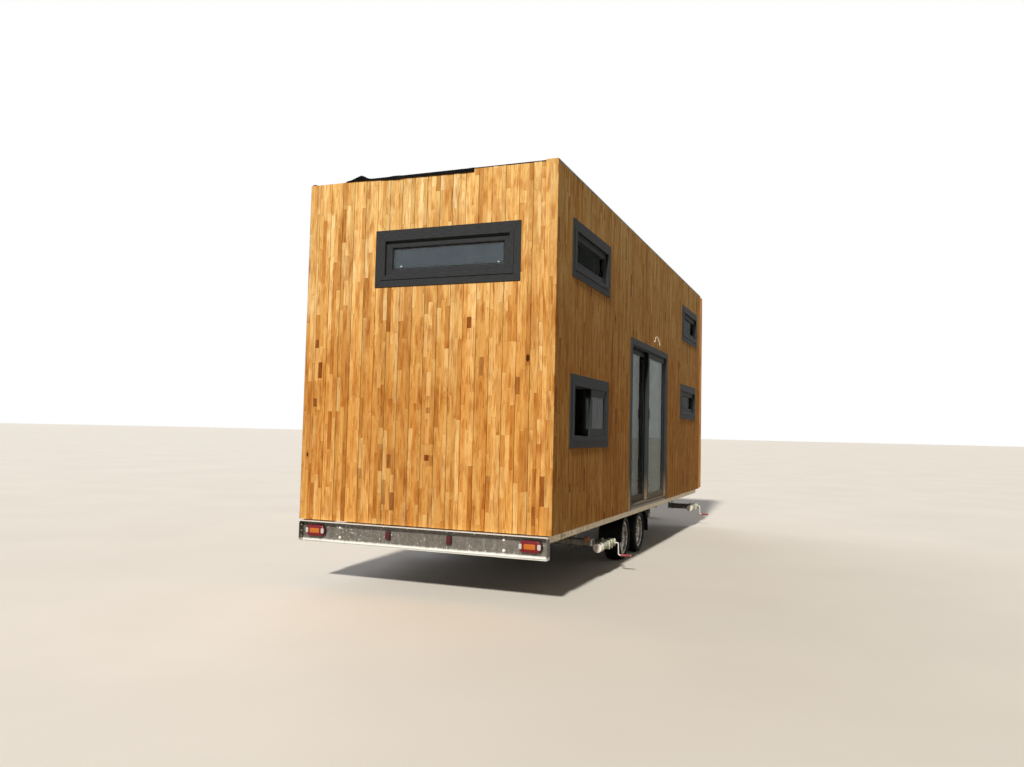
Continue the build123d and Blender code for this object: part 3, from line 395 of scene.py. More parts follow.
def clad(name, start, across, widths, top_level, doorway=()):
    """One wall's boards in a row that runs across from its start, facing outward to the right of the row."""
    start, across = Vector(start), Vector(across)
    on_end = across.y == 0
    turn = across.to_track_quat("X", "Z").to_matrix().to_4x4()
    row = []
    reached = 0.0
    for width in widths:
        top = top_level - chance.uniform(0.0, top_play)
        if width == last_board:
            top = top_level
        elif on_end:
            top -= end_drop
        foot = clad_low.z + chance.uniform(0.0, foot_play)
        size = Matrix.Diagonal((width / board_pitch, 1, top - foot, 1))
        spot = start + across * (reached + width / 2) + Vector((0, 0, foot))
        piece = copy_to(board, Matrix.Translation(spot) @ turn @ size)
        chart = new_chart(piece, "boards")
        stack = chance.randrange(1000) * 3
        for loop in piece.data.loops:
            corner = piece.data.vertices[loop.vertex_index].co
            offset = ((corner - start).dot(across) - reached) / lamella
            chart.data[loop.index].uv = (stack + min(max(offset, 0.001), width / lamella - 0.001), corner.z)
        row.append(piece)
        reached += width
    wall = join(name, row)
    inset = Vector(
        (window_overlap, -through, window_overlap) if on_end else (-through, window_overlap, window_overlap),
    )
    for low, high in [(low + inset, high - inset) for low, high in window_boxes] + list(doorway):
        trim(wall, cuboid("cutter", low, high))
    coat(oiled_softwood, wall)
    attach(wall, "house")
    return wall


def widths_over(span, *first):
    """Board widths that fill a wall after first boards of these widths, the rest cut to fit."""
    widths = list(first)
    while span - sum(widths) > board_pitch * 1.5:
        widths.append(board_pitch)
    rest = span - sum(widths)
    return widths + ([rest] if rest < board_pitch * 1.2 else [rest / 2, rest / 2])


end_span = clad_high.x - clad_low.x - last_strip - last_board
end_widths = widths_over(end_span, corner_board, corner_strip) + [last_strip, last_board]
rear_boards = clad(
    "rear_boards", (clad_low.x, clad_low.y + board_depth, 0), (1, 0, 0), end_widths, clad_high.z,
)
clad("front_boards", (clad_high.x, clad_high.y - board_depth, 0), (-1, 0, 0), end_widths, clad_high.z)
side_inset = board_depth + side_clearance
side_widths = widths_over(clad_high.y - clad_low.y - 2 * side_inset, board_pitch)
doorway = ((door_low.x, door_low.y, 0), (door_high.x + through, door_high.y, door_high.z))
right_start = (clad_high.x - board_depth, clad_low.y + side_inset, 0)
clad("right_boards", right_start, (0, 1, 0), side_widths, coping_low.z, [doorway])
clad(
    "left_boards", (clad_low.x + board_depth, clad_high.y - side_inset, 0), (0, -1, 0), side_widths,
    coping_low.z,
)
drop(board)
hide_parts("cladding")


# Corner boards
# A narrow planed strip of the same softwood, nailed over the board ends at each front corner.
# It is one solid length with plain upright grain, so it carries no glue lines.
corner_softwood_painted_shade, tree, place, shader = finish("planed_softwood_oiled_painted_shade", Roughness=0.7, Specular_IOR_Level=0.2)
# Its tones are painted darker than the boards', as painted shade on the corners
upright = add(tree, "ShaderNodeMapping", {"Vector": place, "Scale": (38.0, 38.0, 1.6)})
strands = add(tree, "ShaderNodeTexNoise", {"Vector": upright, "Scale": 1.6, "Detail": 5, "Distortion": 0.6})
strip_tone_painted_shade = add(
    tree, "ShaderNodeValToRGB", {"Fac": strands}, [(0.3, "#7C5026"), (0.5, "#9C6E3B"), (0.7, "#B28450")],
)
relief = add(tree, "ShaderNodeBump", {"Height": strands, "Strength": 0.2, "Distance": 0.0008})
link(shader, {"Base Color": strip_tone_painted_shade, "Normal": relief})
coat(corner_softwood_painted_shade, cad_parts["corner_boards"])


# Timber frame walls, roof deck and parapet
# Softwood studs closed inside with birch plywood panels, stained grey-brown, with the joints left open 2 mm.
# The room behind the glass is plain: nothing stands in it.
birch_ply, tree, place, shader = finish("birch_plywood_lining", Roughness=0.55, IOR=1.48)
# Rotary-cut veneer shows long soft waves, about 80 mm apart, on panels 2.5 m long
veneer_place = add(tree, "ShaderNodeMapping", {"Vector": place, "Scale": (3.2, 3.2, 0.7)})
veneer = add(
    tree, "ShaderNodeTexNoise", {"Vector": veneer_place, "Scale": 4.0, "Detail": 6, "Distortion": 1.6},
)
veneer_tone = add(
    tree, "ShaderNodeValToRGB", {"Fac": veneer}, [(0.32, "#6F5B40"), (0.5, "#7F6B4E"), (0.7, "#8C785A")],
)
spread = add(tree, "ShaderNodeSeparateXYZ", {"Vector": place})
panels = add(tree, "ShaderNodeMath", {0: spread.outputs["Y"], 1: 1.25}, operation="PINGPONG")
seam = add(tree, "ShaderNodeMapRange", {"Value": panels, "From Max": 0.002, "To Min": 0.35})
seamed = add(
    tree, "ShaderNodeMix", {"Factor": 1.0, 6: veneer_tone, 7: seam}, data_type="RGBA", blend_type="MULTIPLY",
)
relief = add(tree, "ShaderNodeBump", {"Height": veneer, "Strength": 0.1, "Distance": 0.001})
link(shader, {"Base Color": seamed, "Normal": relief})
for name in (
    "rear_wall", "front_wall", "left_wall", "right_wall_rear", "right_wall_front", "right_wall_over_door",
    "roof_deck", "parapet",
):
    coat(birch_ply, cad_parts[name])


# Floor
# An insulated panel with oak-look laminate planks laid along the house, 190 mm wide and 1.3 m long.
# Under the house the panel's grey fibre-cement sheet shows.
laminate_depth = 0.010

# Printed planks under a satin wear layer, with a dark bevel at each joint
laminate, tree, place, shader = finish("laminate_planks_oak", Roughness=0.4, IOR=1.5)
turned_place = add(tree, "ShaderNodeMapping", {"Vector": place, "Rotation": (0, 0, math.radians(90))})
planks = add(
    tree, "ShaderNodeTexBrick",
    {
        "Vector": turned_place, "Scale": 1.0, "Brick Width": 1.3, "Row Height": 0.19, "Mortar Size": 0.0012,
        "Color1": linear("#B08B5E"), "Color2": linear("#C6A67B"), "Mortar": linear("#4A3823"),
    },
    offset=0.37,
)
grain_place = add(tree, "ShaderNodeMapping", {"Vector": place, "Scale": (30.0, 2.0, 1.0)})
plank_grain = add(
    tree, "ShaderNodeTexNoise", {"Vector": grain_place, "Scale": 2.0, "Detail": 5, "Distortion": 0.8},
)
plank_tone = add(tree, "ShaderNodeValToRGB", {"Fac": plank_grain}, [(0.3, "#C9B699"), (0.65, "#FFFFFF")])
plank_colour = add(
    tree, "ShaderNodeMix", {"Factor": 0.7, 6: planks, 7: plank_tone}, data_type="RGBA", blend_type="MULTIPLY",
)
link(shader, {"Base Color": plank_colour})

# Pressed cement board is dull and grey, with a speckle as fine as sand
fibre_cement, tree, place, shader = finish("fibre_cement_sheet", Roughness=0.85)
speckle = add(tree, "ShaderNodeTexNoise", {"Vector": place, "Scale": 220, "Detail": 3})
cement_tone = add(tree, "ShaderNodeValToRGB", {"Fac": speckle}, [(0.3, "#6E6B66"), (0.7, "#8D8983")])
link(shader, {"Base Color": cement_tone})
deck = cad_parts["floor_deck"]
coat(laminate, deck)
deck.data.materials.append(fibre_cement)
for face in deck.data.polygons:
    if face.center.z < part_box("floor_deck")[1].z - laminate_depth:
        face.material_index = 1


# Roof membrane
# One sheet of black EPDM rubber laid on the roof, dressed up the parapet and pulled over part of the rear boards.
# The stretch over the rear was never fixed, so it lies in slack folds and is dusty where water dries on it.

# Calendered rubber is near black and hardly shines; dried puddles leave it grey-brown in places
epdm_rubber, tree, place, shader = finish("epdm_rubber_sheet", Roughness=0.7, Specular_IOR_Level=0.03)
dust = add(tree, "ShaderNodeTexNoise", {"Vector": place, "Scale": 2.2, "Detail": 8, "Roughness": 0.65})
dust_tone = add(
    tree, "ShaderNodeValToRGB", {"Fac": dust}, [(0.4, "#0E0D0F"), (0.6, "#18171A"), (0.8, "#35322F")],
)
folds = add(tree, "ShaderNodeTexNoise", {"Vector": place, "Scale": 7, "Detail": 3, "Distortion": 1.2})
relief = add(tree, "ShaderNodeBump", {"Height": folds, "Strength": 0.35, "Distance": 0.012})
link(shader, {"Base Color": dust_tone, "Normal": relief})

flap_left = -0.864
flap_right = 0.466
flap_sheet = 0.0025
flap_rows = 9
board_tops = clad_high.z - end_drop
# Where the flap's fold and its lower edge lie, as (distance across, height) read from left to right
flap_fold = [
    (-0.864, 3.758), (-0.800, 3.768), (-0.745, 3.789), (-0.696, 3.8022), (-0.655, 3.786), (-0.614, 3.761),
    (-0.500, 3.757), (-0.400, 3.761), (-0.337, 3.767), (-0.250, 3.760), (-0.199, 3.759), (0.181, 3.759),
    (0.466, 3.763),
]
flap_foot = [
    (-0.864, 3.753), (-0.700, 3.749), (-0.614, 3.746), (-0.450, 3.737), (-0.337, 3.728), (-0.199, 3.734),
    (-0.078, 3.731), (0.181, 3.728), (0.466, 3.724),
]


def height_on(line, across):
    """The height of a line of (distance, height) points at a distance across."""
    for (before, low), (after, high) in zip(line, line[1:]):
        if across <= after:
            return low + (high - low) * (across - before) / (after - before)
    return line[-1][1]


# The CAD sheet is kept, apart from its stretch over the rear boards, which the flap replaces
roof_sheet = cuboid("roof_sheet", (-1, -1, 0), (1, 1, 1))
roof_sheet.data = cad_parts["roof_membrane"].data.copy()
flap_low = Vector((flap_left - 0.01, rear_face - 0.02, board_tops - 0.011))
flap_high = Vector((flap_right + 0.01, rear_face + 0.027, clad_high.z + 0.1))
trim(roof_sheet, cuboid("cutter", flap_low, flap_high))
flap_low.z = board_tops - 0.1
flap_high.y = rear_face + 0.0004
trim(roof_sheet, cuboid("cutter", flap_low, flap_high))

bpy.ops.object.select_all(action="DESELECT")
bpy.ops.mesh.primitive_grid_add(x_subdivisions=90, y_subdivisions=flap_rows, size=1)
flap = bpy.context.object
for vertex in flap.data.vertices:
    across = flap_left + (vertex.co.x + 0.5) * (flap_right - flap_left)
    step = round((vertex.co.y + 0.5) * flap_rows)
    # The sines let the fold, the foot and the hanging rows run in and out by a millimetre
    fold = height_on(flap_fold, across) + 0.0008 * math.sin(across * 61)
    foot = height_on(flap_foot, across) + 0.0012 * math.sin(across * 47)
    # It climbs behind the boards, folds over them in six rows, and hangs in the last four with a little slack
    hung = max(step - 5, 0)
    slack = 0.0015 * math.sin(across * 38) * hung / 4
    depth, level = {
        0: (0.0235, board_tops - 0.012), 1: (0.0230, board_tops), 2: (0.0200, fold - 0.003),
        3: (0.0120, fold), 4: (0.0020, fold), 5: (-0.0040, fold - 0.004),
    }.get(step, (-0.0055 - slack - 0.0007 * hung, fold - 0.004 - (fold - 0.004 - foot) * hung / 4))
    vertex.co = (across, rear_face + depth, level)
thick = flap.modifiers.new("thick", "SOLIDIFY")
thick.thickness = flap_sheet
apply_modifiers(flap)
bpy.ops.object.mode_set(mode="EDIT")
bpy.ops.mesh.select_all(action="SELECT")
bpy.ops.mesh.normals_make_consistent(inside=False)
bpy.ops.object.mode_set(mode="OBJECT")
bpy.ops.object.shade_smooth_by_angle(angle=math.radians(50))
# The sheet's raw edge shows as a thin dark line over the boards to the right of the flap
edge_low = (flap_right + 0.002, rear_face + 0.0215, board_tops - 0.020)
edge_high = (clad_high.x - last_board - 0.004, rear_face + 0.0240, board_tops + 0.016)
raw_edge = ease(cuboid("raw_edge", edge_low, edge_high), 0.0006, segments=1)
roof_cover = join("roof_cover", [roof_sheet, flap, raw_edge])
coat(epdm_rubber, roof_cover)
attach(roof_cover, "house")
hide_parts("roof_membrane")


# Coping
# A folded strip of anthracite-coated steel sheet that caps the boards' tops along both sides.
# The polyester coating is satin, with a fine orange-peel texture.
coated_sheet, tree, place, shader = finish("coil_coated_steel_anthracite", Roughness=0.38, IOR=1.5)
peel = add(tree, "ShaderNodeTexNoise", {"Vector": place, "Scale": 420, "Detail": 2})
chalk = add(tree, "ShaderNodeTexNoise", {"Vector": place, "Scale": 3, "Detail": 5})
chalk_tone = add(tree, "ShaderNodeValToRGB", {"Fac": chalk}, [(0.35, "#232629"), (0.7, "#34383B")])
relief = add(tree, "ShaderNodeBump", {"Height": peel, "Strength": 0.12, "Distance": 0.0004})
link(shader, {"Base Color": chalk_tone, "Normal": relief})
coat(coated_sheet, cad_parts["coping"])


# Windows
# Hollow PVC profiles under anthracite woodgrain foil, cut at 45 degrees and welded at the corners.
# A wide casing laps over the boards, and each sash closes on a black lip seal, set back in its frame.
casing_width = 0.076
casing_proud = 0.009
frame_width = 0.105
frame_step = 0.017
lining_lap = 0.011
lining_back = -0.090
sash_face = -0.014
sash_width = 0.060
sash_depth = 0.055
seal_width = 0.004
lip_width = seal_width + 0.002
pane_gap = 0.016
pane_thickness = 0.004
pane_set_back = 0.018
spacer_width = 0.010
slider_border = 0.042
slider_depth = 0.026
slider_rail = 0.032
slider_levels = (-0.017, sash_face - 0.060)
slider_play = 0.004
slider_track = 0.008
bead_width = 0.003
knob_radius = 0.013
knob_drop = 0.060
stop_radius = 0.010
stop_places = ((-0.262, 2.926), (0.703, 2.918))

foil_frames, tree, place, shader = finish(
    "pvc_profile_woodgrain_foil", Roughness=0.6, Specular_IOR_Level=0.06,
)
along = add(tree, "ShaderNodeUVMap", uv_map="member")
# The foil's pores are 0.3 mm wide and 10 to 20 mm long, and are drawn about five times as coarse here to show
pore_place = add(tree, "ShaderNodeMapping", {"Vector": along, "Scale": (14.0, 300.0, 1.0)})
pores = add(tree, "ShaderNodeTexNoise", {"Vector": pore_place, "Scale": 1.0, "Detail": 4, "Roughness": 0.7})
foil_tone = add(
    tree, "ShaderNodeValToRGB", {"Fac": pores}, [(0.32, "#262A2D"), (0.5, "#373B3F"), (0.72, "#464A4F")],
)
# Gravel dust has splashed on what stands within a foot of the door sill
height = add(tree, "ShaderNodeSeparateXYZ", {"Vector": place}).outputs["Z"]
splash = add(tree, "ShaderNodeTexNoise", {"Vector": place, "Scale": 16, "Detail": 6, "Roughness": 0.7})
splashed = add(
    tree, "ShaderNodeMapRange",
    {"Value": height, "From Min": 0.64, "From Max": 0.98, "To Min": 1.1, "To Max": 0.0},
)
dusty = add(tree, "ShaderNodeMath", {0: splashed, 1: splash}, operation="MULTIPLY")
foil_seen = add(
    tree, "ShaderNodeMix", {"Factor": dusty, 6: foil_tone, 7: linear("#A08F76")}, data_type="RGBA",
)
relief = add(tree, "ShaderNodeBump", {"Height": pores, "Strength": 0.5, "Distance": 0.0005})
link(shader, {"Base Color": foil_seen, "Normal": relief})

# Extruded rubber, matt black with a faint grey bloom
seal_rubber, tree, place, shader = finish("epdm_lip_seal", Roughness=0.6, IOR=1.52)
bloom = add(tree, "ShaderNodeTexNoise", {"Vector": place, "Scale": 90, "Detail": 2})
seal_tone = add(tree, "ShaderNodeValToRGB", {"Fac": bloom}, [(0.3, "#0C0C0D"), (0.7, "#1A1A1B")])
link(shader, {"Base Color": seal_tone})

# Roll-formed aluminium, a dull grey metal band between the panes
spacer_metal, tree, place, shader = finish("aluminium_pane_spacer", Metallic=1.0, Roughness=0.4)
rolled_lines = add(tree, "ShaderNodeTexNoise", {"Vector": place, "Scale": 300, "Detail": 2})
spacer_tone = add(tree, "ShaderNodeValToRGB", {"Fac": rolled_lines}, [(0.3, "#8B8E90"), (0.7, "#A9ACAE")])
link(shader, {"Base Color": spacer_tone})


def float_glass(name, mirror, deep, clear):
    """Clear glass, faintly tinted at the depth of a double pane, with a few dry smears."""
    material, tree, place, shader = finish(name, IOR=mirror, Transmission_Weight=1.0)
    smears = add(tree, "ShaderNodeTexNoise", {"Vector": place, "Scale": 5, "Detail": 5})
    tint = add(tree, "ShaderNodeValToRGB", {"Fac": smears}, [(0.35, deep), (0.7, clear)])
    rubbed = add(
        tree, "ShaderNodeMapRange", {"Value": smears, "From Min": 0.4, "From Max": 0.8, "To Max": 0.03},
    )
    link(shader, {"Base Color": tint, "Roughness": rubbed})
    return material


# The end windows have common float glass, the sides low-reflection glass that is tinted in the small windows
end_glass = float_glass("float_glass_double", 1.52, "#BFD2DC", "#D2E2EA")
side_glass = float_glass("float_glass_low_reflection", 1.07, "#B4C0B8", "#C6D0C6")
shaded_glass = float_glass("float_glass_tinted", 1.02, "#8FA091", "#A3B1A2")


def shape_edges(piece, chosen, operator, **settings):
    """Runs an edit-mode operator on the edges of the active piece that a test chooses."""
    bpy.ops.object.mode_set(mode="EDIT")
    bpy.ops.mesh.select_mode(type="EDGE")
    bpy.ops.mesh.select_all(action="DESELECT")
    mesh = bmesh.from_edit_mesh(piece.data)
    for edge in mesh.edges:
        edge.select = chosen(edge)
    bmesh.update_edit_mesh(piece.data)
    operator(**settings)
    bpy.ops.mesh.select_mode(type="VERT")
    bpy.ops.object.mode_set(mode="OBJECT")


def mitred_ring(name, width, height, border, low, high, eased=0.0012, splay=0.0):
    """Four members cut at 45 degrees, lying across X and Y, from low to high in Z, with UV along each."""
    near = 0.0001
    bpy.ops.object.select_all(action="DESELECT")
    bpy.ops.mesh.primitive_plane_add(size=1, location=(0, 0, low))
    bpy.context.object.scale = (width, height, 1)
    ring = settle(name)
    bpy.ops.object.mode_set(mode="EDIT")
    bpy.ops.mesh.select_all(action="SELECT")
    bpy.ops.mesh.inset(thickness=border)
    bpy.ops.mesh.delete(type="FACE")
    bpy.ops.object.mode_set(mode="OBJECT")
    shape_edges(
        ring, lambda edge: all(abs(edge.verts[0].co[i] - edge.verts[1].co[i]) > near for i in (0, 1)),
        bpy.ops.mesh.edge_split, type="EDGE",
    )
    bpy.ops.object.mode_set(mode="EDIT")
    bpy.ops.mesh.select_mode(type="EDGE")
    bpy.ops.mesh.select_all(action="SELECT")
    bpy.ops.mesh.extrude_region_move(TRANSFORM_OT_translate={"value": (0, 0, high - low)})
    bpy.ops.mesh.select_all(action="SELECT")
    bpy.ops.mesh.normals_make_consistent(inside=False)
    bpy.ops.mesh.select_mode(type="VERT")
    bpy.ops.object.mode_set(mode="OBJECT")
    if splay:
        reach = Vector((width / 2 - border + near, height / 2 - border + near))
        shape_edges(
            ring, lambda edge: all(
                v.co.z > high - near and abs(v.co.x) < reach.x and abs(v.co.y) < reach.y for v in edge.verts
            ), bpy.ops.mesh.bevel, offset=splay, segments=2,
        )
    ease(ring, eased, segments=1)
    chart = new_chart(ring, "member")
    for face in ring.data.polygons:
        upright = width / 2 - abs(face.center.x) < height / 2 - abs(face.center.y)
        side = face.center.x if upright else face.center.y
        shift = (3.1 if upright else 7.7) + (5.3 if side > 0 else 0)
        for index in face.loop_indices:
            corner = ring.data.vertices[ring.data.loops[index].vertex_index].co
            inward = (width / 2 - abs(corner.x), height / 2 - abs(corner.y))
            run, across = (corner.y, inward[0]) if upright else (corner.x, inward[1])
            chart.data[index].uv = (run + shift, across + corner.z + shift)
    return ring


def bar(name, low, high, eased=0.0012):
    """A length of profile between two corners, its arrises taken off, with UV along its longest side."""
    piece = ease(cuboid(name, low, high), eased, segments=1)
    size = Vector(high) - Vector(low)
    long_side = max(range(3), key=lambda i: size[i])
    other = [i for i in range(3) if i != long_side]
    chart = new_chart(piece, "member")
    shift = low[0] * 3.7 + low[1] * 1.9 + low[2] * 5.1
    for loop in piece.data.loops:
        corner = piece.data.vertices[loop.vertex_index].co
        chart.data[loop.index].uv = (corner[long_side] + shift, corner[other[0]] + corner[other[1]] + shift)
    return piece


def disc(name, radius, low, high, vertices=28):
    """A round piece round the Z axis between two heights."""
    bpy.ops.object.select_all(action="DESELECT")
    bpy.ops.mesh.primitive_cylinder_add(
        vertices=vertices, radius=radius, depth=high - low, location=(0, 0, (low + high) / 2),
    )
    return settle(name)


def moved(matrix, *pieces):
    """Moves pieces in their meshes."""
    for piece in pieces:
        piece.data.transform(matrix)
    return pieces


def pane(width, height, low):
    """A thin sheet of glass across X and Y, its edges arrissed."""
    sheet = cuboid("pane", (-width / 2, -height / 2, low), (width / 2, height / 2, low + pane_thickness))
    return ease(sheet, 0.0005, segments=1)


def glazing(width, height, face):
    """Seal, spacer and the two panes that fill a sash opening, with the outer pane this far out."""
    behind = face - pane_thickness
    seal = mitred_ring("seal", width, height, seal_width, face, face + 0.003, 0.0008)
    spacer = mitred_ring(
        "spacer", width - 0.004, height - 0.004, spacer_width, behind - pane_gap, behind, 0.0005,
    )
    panes = [pane(width, height, level) for level in (behind, behind - pane_gap - pane_thickness)]
    return seal, spacer, panes


def wall_place(low, high):
    """Where a window's pieces go: X across, Y up and Z out from its box's middle, on the boards' outer face."""
    middle = (low + high) / 2
    if high.x > clad_high.x or low.x < clad_low.x:
        out = Vector((math.copysign(1, middle.x), 0, 0))
        middle.x = clad_high.x if middle.x > 0 else clad_low.x
    else:
        out = Vector((0, math.copysign(1, middle.y), 0))
        middle.y = clad_high.y if middle.y > 0 else clad_low.y
    up = Vector((0, 0, 1))
    across = up.cross(out)
    turn = Matrix((across, up, out)).transposed().to_4x4()
    return Matrix.Translation(middle) @ turn, abs((high - low).dot(across)), high.z - low.z


def window_frame(width, height):
    """What both kinds of window have in the wall: the casing on the boards and the lining through them."""
    casing = mitred_ring("casing", width, height, casing_width, 0, casing_proud, 0.002, 0.006)
    lining_edge = 2 * (casing_width - lining_lap)
    lining = mitred_ring(
        "lining", width - lining_edge, height - lining_edge, frame_width - casing_width + lining_lap,
        lining_back, frame_step, 0.0015, 0.004,
    )
    return {"frame": [casing, lining], "sash": [], "seal": [], "spacer": [], "pane": []}


def fixed_window(width, height):
    """A window with one sash: its pieces by finish."""
    pieces = window_frame(width, height)
    wide, tall = width - 2 * frame_width, height - 2 * frame_width
    lip = mitred_ring(
        "lip", wide + 0.002, tall + 0.002, lip_width, sash_face - 0.002, sash_face + 0.003, 0.001,
    )
    sash = mitred_ring(
        "sash", wide - 0.001, tall - 0.001, sash_width, sash_face - sash_depth, sash_face, 0.0015, 0.009,
    )
    border = 2 * sash_width + 0.001
    seal, spacer, panes = glazing(wide - border, tall - border, sash_face - pane_set_back)
    pieces["sash"] = [sash]
    pieces["seal"] = [lip, seal]
    pieces["spacer"] = [spacer]
    pieces["pane"] = panes
    return pieces


def sliding_window(width, height):
    """The low rear window: both leaves stand in its front half, one behind the other, and the rear half is open."""
    pieces = window_frame(width, height)
    half = (width - 2 * frame_width) / 2
    tall = height - 2 * frame_width
    lap = slider_border - 0.0005
    clear_wide, clear_tall = half - 2 * lap, tall - 2 * lap
    for shift, depth in zip((half / 2, half / 2 - slider_play), slider_levels):
        leaf = mitred_ring(
            "leaf", half - 0.001, tall - 0.001, slider_border, depth, depth + slider_depth, 0.0012, 0.005,
        )
        bead = mitred_ring(
            "bead", clear_wide, clear_tall - 2 * slider_rail, bead_width, depth + 0.017, depth + 0.020, 0.0008,
        )
        sheet = pane(clear_wide - bead_width, clear_tall - bead_width - 2 * slider_rail, depth + 0.013)
        moved(Matrix.Translation((shift, 0, 0)), leaf, bead, sheet)
        pieces["sash"].append(leaf)
        left, right = shift - clear_wide / 2, shift + clear_wide / 2
        for low in (-clear_tall / 2, clear_tall / 2 - slider_rail):
            rail = bar("rail", (left, low, depth + 0.003), (right, low + slider_rail, depth + 0.023))
            pieces["sash"].append(rail)
        pieces["seal"].append(bead)
        pieces["pane"].append(sheet)
    for level in (-tall / 2, tall / 2 - slider_track):
        track = cuboid("track", (-half, level, -0.064), (half, level + slider_track, -0.062))
        pieces["seal"].append(ease(track, 0.0005, segments=1))
    knob = ease(disc("knob", knob_radius, 0.007, 0.021, 32), 0.003, segments=3)
    knob.data.uv_layers[0].name = "member"
    pieces["sash"] += moved(Matrix.Translation((0.030, tall / 2 - knob_drop, 0)), knob)
    return pieces


rear_right = [pair for pair in window_boxes if pair[1].x > clad_high.x and pair[0].y < clad_low.y + 1.0]
low_window = min(rear_right, key=lambda pair: pair[0].z)
models = {}
placed = {"frame": [], "sash": [], "seal": [], "spacer": [], "pane": []}
for box_low, box_high in window_boxes:
    to_wall, width, height = wall_place(box_low, box_high)
    slides = (box_low - low_window[0]).length < 0.001
    kind = (round(width, 3), round(height, 3), slides)
    if kind not in models:
        models[kind] = sliding_window(width, height) if slides else fixed_window(width, height)
    for finish_name, pieces in models[kind].items():
        placed[finish_name] += [copy_to(piece, to_wall) for piece in pieces]
for pieces in models.values():
    for group in pieces.values():
        drop(*group)
windows = {}
for finish_name, material, slot, name in (
    ("frame", foil_frames, "frame_foil", "window_casings"),
    ("sash", foil_frames, "frame_foil", "window_leaves"),
    ("seal", seal_rubber, "rubber", "window_seals"),
    ("spacer", spacer_metal, "galvanised_steel", "window_spacers"),
    ("pane", end_glass, "glass", "window_panes"),
):
    windows[finish_name] = join(name, placed[finish_name])
    coat(material, windows[finish_name])
    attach(windows[finish_name], "house")
windows["pane"].data.materials.append(side_glass)
windows["pane"].data.materials.append(shaded_glass)
for face in windows["pane"].data.polygons:
    if clad_low.y + 0.2 < face.center.y < clad_high.y - 0.2:
        in_slider = all(low_window[0][i] < face.center[i] < low_window[1][i] for i in (1, 2))
        face.material_index = 1 if in_slider and face.center.x > 0 else 2
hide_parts("window_frames")
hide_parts("window_sashes")
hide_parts("window_glass")

# Two moulded stops of white nylon stand on the rear window's sash, before the pane
nylon, tree, place, shader = finish("nylon_stop_white", Roughness=0.5)
mould = add(tree, "ShaderNodeTexNoise", {"Vector": place, "Scale": 160})
nylon_tone = add(tree, "ShaderNodeValToRGB", {"Fac": mould}, [(0.35, "#D8D6D0"), (0.65, "#ECEAE4")])
link(shader, {"Base Color": nylon_tone})
laid_back = Matrix.Rotation(math.radians(90), 4, "X")
stops = []
for x, z in stop_places:
    stop = ease(disc("stop", stop_radius, -0.006, 0.006), 0.003, segments=3)
    stops += moved(Matrix.Translation((x, rear_face + 0.040, z)) @ laid_back, stop)
stop_pair = join("window_stops", stops)
coat(nylon, stop_pair)
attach(stop_pair, "house")


# Sliding door
# The same foiled profile makes a deep frame with two leaves: the rear one fixed inside, the front outside.
# Thin guide fins stand beside and between the leaves, each leaf has a black seal, the sill is coated sheet.
fixed_low, fixed_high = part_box("door_fixed_leaf")
slide_low, slide_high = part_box("door_sliding_leaf")
sill_low, sill_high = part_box("door_sill")
leaf_depth = fixed_high.x - fixed_low.x
jamb_width = fixed_low.y - door_low.y
head_height = 0.074
fin_reach = 0.016
fin_half = 0.0025
fin_clearance = 0.006
stile_width = 0.064
rib_height = 0.009
rib_half = 0.004
sill_clearance = 0.0005
pull_width = 0.028
pull_height = 0.120
pull_border = 0.006
pull_level = 1.700

hole_rear = door_low.y + jamb_width
hole_front = door_high.y - jamb_width
hole_top = door_high.z - head_height
track_low = fixed_low.z - 0.0003
threshold = track_low - rib_height
jamb_foot = clad_low.z + 0.004
frame_bars = [
    bar("head", (door_low.x, hole_rear, hole_top), (door_high.x, hole_front, door_high.z), 0.002),
    bar("threshold", (door_low.x, hole_rear, door_low.z), (door_high.x, hole_front, threshold), 0.002),
]
for rear, front in ((door_low.y, hole_rear), (hole_front, door_high.y)):
    frame_bars += [
        bar("jamb", (door_low.x, rear, door_low.z), (door_high.x, front, door_high.z), 0.002),
        bar("jamb", (sill_low.x, rear, jamb_foot), (door_high.x, front, door_low.z), 0.001),
    ]
for fin in (
    fixed_low.x - fin_clearance, (fixed_high.x + slide_low.x) / 2, slide_low.x + leaf_depth + fin_clearance,
):
    near, far = fin - fin_half, fin + fin_half
    frame_bars += [
        bar("fin", (near, hole_rear, threshold), (far, hole_rear + fin_reach, hole_top), 0.0008),
        bar("fin", (near, hole_front - fin_reach, threshold), (far, hole_front, hole_top), 0.0008),
        bar("fin", (near, hole_rear, hole_top - fin_reach), (far, hole_front, hole_top), 0.0008),
    ]
door_frame = join("door_frame_members", frame_bars)
coat(foil_frames, door_frame)
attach(door_frame, "house")
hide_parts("door_frame")

# Coil-coated steel in taupe, scuffed paler and duller where feet land
sill_sheet, tree, place, shader = finish("coil_coated_steel_taupe", Roughness=0.42, IOR=1.5)
scuffs = add(tree, "ShaderNodeTexNoise", {"Vector": place, "Scale": 9, "Detail": 8, "Roughness": 0.7})
scuff_tone = add(
    tree, "ShaderNodeValToRGB", {"Fac": scuffs}, [(0.35, "#5E554B"), (0.55, "#73695D"), (0.75, "#8C8071")],
)
rub = add(tree, "ShaderNodeMapRange", {"Value": scuffs, "To Min": 0.35, "To Max": 0.6})
link(shader, {"Base Color": scuff_tone, "Roughness": rub})
sill_rear, sill_front = hole_rear + sill_clearance, hole_front - sill_clearance
sill_bars = [bar("sill", (sill_low.x, sill_rear, sill_low.z), (sill_high.x, sill_front, sill_high.z), 0.003)]
for rib in (fixed_low.x + leaf_depth / 2, slide_low.x + leaf_depth / 2):
    sill_bars.append(
        bar("rib", (rib - rib_half, sill_rear, threshold), (rib + rib_half, sill_front, track_low), 0.002),
    )
sill = join("door_sill_sheet", sill_bars)
coat(sill_sheet, sill)
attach(sill, "house")
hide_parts("door_sill")

